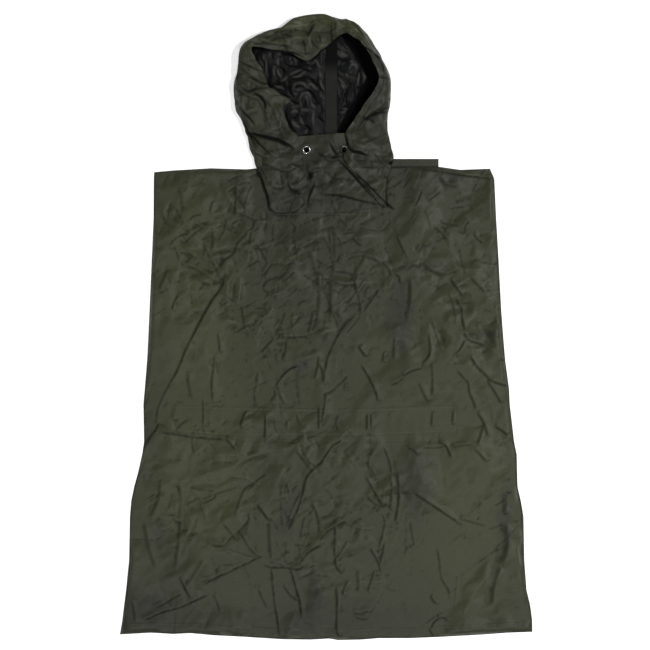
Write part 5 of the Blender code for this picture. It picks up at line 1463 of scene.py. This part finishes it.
def makeCrinkleGroup():
    # fine crinkles of a coated cloth: edges of bent cells at two sizes
    group, source, sink = nodeGroup("fineCrinkle", {"Size": 60.0}, ["Height", "Edges"])
    bend = noiseOf(group, source["Cloth"], 35.0, 3.0).outputs["Color"]
    shift = addNode(group, "ShaderNodeVectorMath", {0: bend, "Scale": 0.035}, operation="SCALE")
    bent = addNode(group, "ShaderNodeVectorMath", {0: source["Cloth"], 1: shift.outputs[0]}, operation="ADD")
    layers = []
    for factor, share in ((1.0, 1.0), (2.3, 0.45)):
        scale = mathOf(group, "MULTIPLY", source["Size"], factor)
        cells = addNode(group, "ShaderNodeTexVoronoi", {"Vector": bent.outputs[0], "Scale": scale},
                        feature="DISTANCE_TO_EDGE")
        layers.append(mathOf(group, "MULTIPLY", rangeOf(group, cells.outputs["Distance"], 0.0, 0.35), share))
    total = mathOf(group, "ADD", *layers)
    feed(group, sink, {"Height": total, "Edges": rangeOf(group, total, 0.55, 0.0)})
    return group


def makeMottleGroup():
    # broad cloudy variation and fine mottling: two masks, 0..1
    group, source, sink = nodeGroup("clothMottle", {"Broad": 9.0, "Fine": 160.0}, ["Clouds", "Grain"])
    broad = noiseOf(group, source["Cloth"], source["Broad"], 4.0, Roughness=0.6).outputs[0]
    fine = noiseOf(group, source["Cloth"], source["Fine"], 3.0).outputs[0]
    feed(group, sink, {"Clouds": rangeOf(group, broad, 0.35, 0.68), "Grain": rangeOf(group, fine, 0.3, 0.7)})
    return group


def newFinish(name):
    material = bpy.data.materials.new(name)
    material.use_nodes = True
    tree = material.node_tree
    return material, tree, tree.nodes["Principled BSDF"]


def placeGroup(tree, kind, **inputs):
    return feed(tree, addNode(tree, "ShaderNodeGroup", node_tree=groups[kind]), inputs).outputs


def mottledFinish(name, broad, fine, onCloth=True):
    # a new finish with its coordinates, the cloth's own or the object's, and its two mottling masks
    material, tree, shader = newFinish(name)
    if onCloth:
        place = addNode(tree, "ShaderNodeUVMap", uv_map="cloth").outputs[0]
    else:
        place = addNode(tree, "ShaderNodeTexCoord").outputs["Object"]
    return material, tree, shader, place, placeGroup(tree, "mottle", Cloth=place, Broad=broad, Fine=fine)


def darkened(tree, rough, shade, share):
    # deep folds lose their gloss: roughness + share of the shade
    return mathOf(tree, "ADD", rough, mathOf(tree, "MULTIPLY", shade, share))


def makeOlive():
    material, tree, shader, cloth, mottle = mottledFinish("oliveCoatedNylon", 9.0, 190.0)
    shade, tone, crest = fieldOf(tree, "shade"), fieldOf(tree, "tone"), fieldOf(tree, "crest")
    tint = placeGroup(tree, "mottle", Cloth=cloth, Broad=23.0, Fine=60.0)
    crinkle = placeGroup(tree, "crinkle", Cloth=cloth, Size=75.0)
    weave = placeGroup(tree, "weave", Cloth=cloth, Pitch=looks["threads"])
    # the tone field greys or warms the cloth: partly its own uneven tone, partly painted shade and painted
    # highlight
    toned = mathOf(tree, "ADD", tone, rangeOf(tree, mottle["Clouds"], 0.0, 1.0, -0.22, 0.22))
    color = blendOf(tree, rangeOf(tree, toned, 0.0, 2.0), looks["olive"], looks["oliveGrey"])
    color = blendOf(tree, rangeOf(tree, toned, 0.0, -2.0), color, looks["oliveWarm"])
    # tints and grain flecks are the cloth's own; the crinkle edges get painted shade and the crest field a
    # painted highlight
    for mask, share, look in ((tint["Clouds"], 0.22, "oliveBrown"), (tint["Grain"], 0.22, "oliveGreen"),
                              (crinkle["Edges"], 0.05, "paintedShadeDark"), (mottle["Grain"], 0.05, "paintedHighlightAndGrain"),
                              (crest, 0.22, "paintedHighlightAndGrain")):
        color = blendOf(tree, mathOf(tree, "MULTIPLY", mask, share), color, looks[look])
    normal = bumpOf(tree, crinkle["Height"], 0.0005, 0.3)
    # painted shade: the shade field darkens the colour in creases, folds and along edges
    feed(tree, shader, {
        "Base Color": blendOf(tree, shade, color, looks["paintedShadeDark"]),
        "Roughness": darkened(tree, rangeOf(tree, mottle["Grain"], 0.0, 1.0, 0.4, 0.52), shade, 0.5),
        "Normal": bumpOf(tree, weave["Height"], 0.00012, 0.5, Normal=normal),
        "Specular IOR Level": 0.22, "Sheen Weight": 0.015, "Sheen Roughness": 0.4,
    })
    return material


def makeLining():
    material, tree, shader, cloth, mottle = mottledFinish("darkCoatedLining", 14.0, 120.0)
    shade, crest = fieldOf(tree, "shade"), fieldOf(tree, "crest")
    crinkle = placeGroup(tree, "crinkle", Cloth=cloth, Size=62.0)
    weave = placeGroup(tree, "weave", Cloth=cloth, Pitch=looks["threads"])
    color = blendOf(tree, mottle["Clouds"], looks["liningDark"], looks["liningWorn"])
    # painted highlight along the ridges
    color = blendOf(tree, mathOf(tree, "MULTIPLY", crest, 0.85), color, looks["liningPaintedHighlight"])
    normal = bumpOf(tree, crinkle["Height"], 0.0008, 0.4)
    # painted shade in the folds and inside the right rim
    feed(tree, shader, {
        "Base Color": blendOf(tree, shade, color, looks["paintedDeepShade"]),
        "Roughness": darkened(tree, rangeOf(tree, mottle["Grain"], 0.0, 1.0, 0.4, 0.54), shade, 0.65),
        "Normal": bumpOf(tree, weave["Height"], 0.00008, 0.3, Normal=normal),
        "Specular IOR Level": 0.12,
    })
    return material


def makeTape():
    material, tree, shader, _, mottle = mottledFinish("smoothSeamTape", 22.0, 240.0)
    shade = fieldOf(tree, "shade")
    color = blendOf(tree, mottle["Clouds"], looks["tapeDark"], looks["tapeWorn"])
    # painted shade where the tape's top lies under the crown
    feed(tree, shader, {
        "Base Color": blendOf(tree, shade, color, looks["paintedDeepShade"]),
        "Roughness": darkened(tree, rangeOf(tree, mottle["Grain"], 0.0, 1.0, 0.5, 0.62), shade, 0.4),
        "Normal": bumpOf(tree, mottle["Grain"], 0.0002, 0.4),
        "Specular IOR Level": 0.2,
    })
    return material


def makeThread():
    material, tree, shader, _, mottle = mottledFinish("sewingThread", 12.0, 900.0, onCloth=False)
    feed(tree, shader, {
        "Base Color": blendOf(tree, mottle["Clouds"], looks["threadLight"], looks["threadDull"]),
        "Normal": bumpOf(tree, mottle["Grain"], 0.0002, 0.6),
        "Roughness": 0.7,
    })
    return material


def makeMetal():
    material, tree, shader, _, mottle = mottledFinish("platedEyelet", 160.0, 1500.0, onCloth=False)
    color = blendOf(tree, mottle["Clouds"], looks["metalBright"], looks["metalDull"])
    # the rings are painted dark as a reflection, except on their bright side
    feed(tree, shader, {
        "Base Color": blendOf(tree, fieldOf(tree, "paintedDarkReflection"), color, looks["metalReflectionDark"]),
        "Roughness": rangeOf(tree, mottle["Grain"], 0.0, 1.0, 0.16, 0.34),
        "Normal": bumpOf(tree, mottle["Grain"], 0.00008, 0.3),
        "Metallic": 1.0,
    })
    return material


groups = {"weave": makeWeaveGroup(), "crinkle": makeCrinkleGroup(), "mottle": makeMottleGroup()}
finishes = {"olive": makeOlive(), "lining": makeLining(), "tape": makeTape(), "thread": makeThread(),
            "metal": makeMetal()}
clothAndLining = [finishes["olive"], finishes["lining"]]
print("finishes made:", len(finishes))

inset, gap = garment["frontInset"], garment["seamGap"]
frontUpper = buildFront("frontUpper", (waistSeam, gap), (shoulderLine, -inset), True)
frontLower = buildFront("frontLower", (hemLine, inset), (waistSeam, -gap), False)
waistBand = buildBand()
backPanel = buildBack()
backFlap = buildFlap()
print("body made")
liningMaps = makeLiningMaps()
hoodLeft = buildHood("hoodLeft", "left")
hoodRight = buildHood("hoodRight", "right")
throatPanel = buildThroat()
hoodSeamTape = buildTape()
for label, (node, place) in zip(("eyeletLeft", "eyeletRight"), throat["eyelets"].items()):
    buildEyelet(label, node, *place)
print("hood made")

seams = {"neck": (-118.0, 130.0), "neckDrop": 3.0, "band": (-353.0, 299.0), "bandEnd": 297.0,
         "hem": (-455.0, 456.0), "hemDrop": 3.5}
neckX = np.arange(*seams["neck"], thread["step"])
stitchRow("neckStitches", neckX, neckX * 0 + garment["notchBottom"] - seams["neckDrop"], frontTop)
bandX = np.arange(*seams["band"], thread["step"])
upperEdge, lowerEdge = bandEdges(bandX)
upperEdge, lowerEdge = upperEdge - band["stitchInset"], lowerEdge + band["stitchInset"]
stitchRow("bandTopStitches", bandX, upperEdge, bandTop)
stitchRow("bandLowStitches", bandX, lowerEdge, bandTop)
endY = np.arange(lowerEdge[-1], upperEdge[-1], thread["step"])
stitchRow("bandEndStitches", endY * 0 + seams["bandEnd"], endY, bandTop)
hemX = np.arange(*seams["hem"], thread["step"])
hemY = lineAt(hemLine, hemX) + garment["hemDepth"] - seams["hemDrop"]
stitchRow("hemStitches", hemX, hemY, frontTop)
print("stitches made")

for piece, node, slotName in (
        (frontUpper, "front_upper", "shell"), (frontLower, "front_lower", "shell"),
        (waistBand, "waist_band", "band"), (backPanel, "back_panel", "shell_back"),
        (backFlap, "back_flap", "shell_back"), (hoodLeft, "hood_left", "hood"),
        (hoodRight, "hood_right", "hood"), (throatPanel, "throat_panel", "hood"),
        (hoodSeamTape, "hood_seam_tape", "tape")):
    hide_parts(node)

studio = {
    "cameraHeight": 8.0,
    "frameWidth": 1.495,  # metres of floor across the view
    "centre": (-0.0025, 0.0046),
    "sensor": 36.0,
    "floor": 12000.0,
    "floorDrop": 0.4,
    "floorColors": [(0.96, 0.96, 0.96), (0.98, 0.98, 0.98)],
    "floorGlow": 0.5,
    "world": 0.10,
    # name, place, size, power
    "lamps": [
        ("keyLamp", (2.4, 0.8, 4.2), 0.8, 235.0),
        ("fillLamp", (-3.2, -0.4, 3.6), 1.6, 135.0),
        ("topLamp", (-0.2, -2.4, 5.0), 1.5, 130.0),
    ],
}

paleFloor, tree, shader = newFinish("paleFloor")
dust = noiseOf(tree, addNode(tree, "ShaderNodeTexCoord").outputs["Object"], 40.0, 3.0).outputs[0]
feed(tree, shader, {
    "Base Color": blendOf(tree, rangeOf(tree, dust, 0.3, 0.7), *studio["floorColors"]),
    "Roughness": 0.9, "Emission Color": (1, 1, 1, 1), "Emission Strength": studio["floorGlow"],
})
half = studio["floor"] / 2
floorCorners = ((-half, -half), (half, -half), (half, half), (-half, half))
floorPoints = [(x, y, -studio["floorDrop"]) for x, y in floorCorners]
studioFloor = newPiece("studioFloor", floorPoints, [(0, 1, 2, 3)], [paleFloor], rides=False)

for name, (lampX, lampY, lampZ), size, power in studio["lamps"]:
    light = bpy.data.lights.new(name, "AREA")
    light.shape = "DISK"
    light.size = size
    light.energy = power
    lamp = bpy.data.objects.new(name, light)
    lamp.location = (lampX, lampY, lampZ)
    lamp.rotation_euler = (math.atan2(math.hypot(lampX, lampY), lampZ), 0, math.atan2(-lampX, lampY))
    bpy.context.scene.collection.objects.link(lamp)

world = bpy.data.worlds.new("studioWorld")
world.use_nodes = True
world.node_tree.nodes["Background"].inputs["Color"].default_value = (1, 1, 1, 1)
world.node_tree.nodes["Background"].inputs["Strength"].default_value = studio["world"]
bpy.context.scene.world = world
bpy.context.scene.view_settings.view_transform = "Standard"

cameraData = bpy.data.cameras.new("overheadCamera")
cameraData.sensor_width = studio["sensor"]
cameraData.lens = studio["sensor"] * studio["cameraHeight"] / studio["frameWidth"]
cameraData.clip_end = 60.0
camera = bpy.data.objects.new("overheadCamera", cameraData)
camera.location = (*studio["centre"], studio["cameraHeight"])
bpy.context.scene.collection.objects.link(camera)
bpy.context.scene.camera = camera

print("studio made")
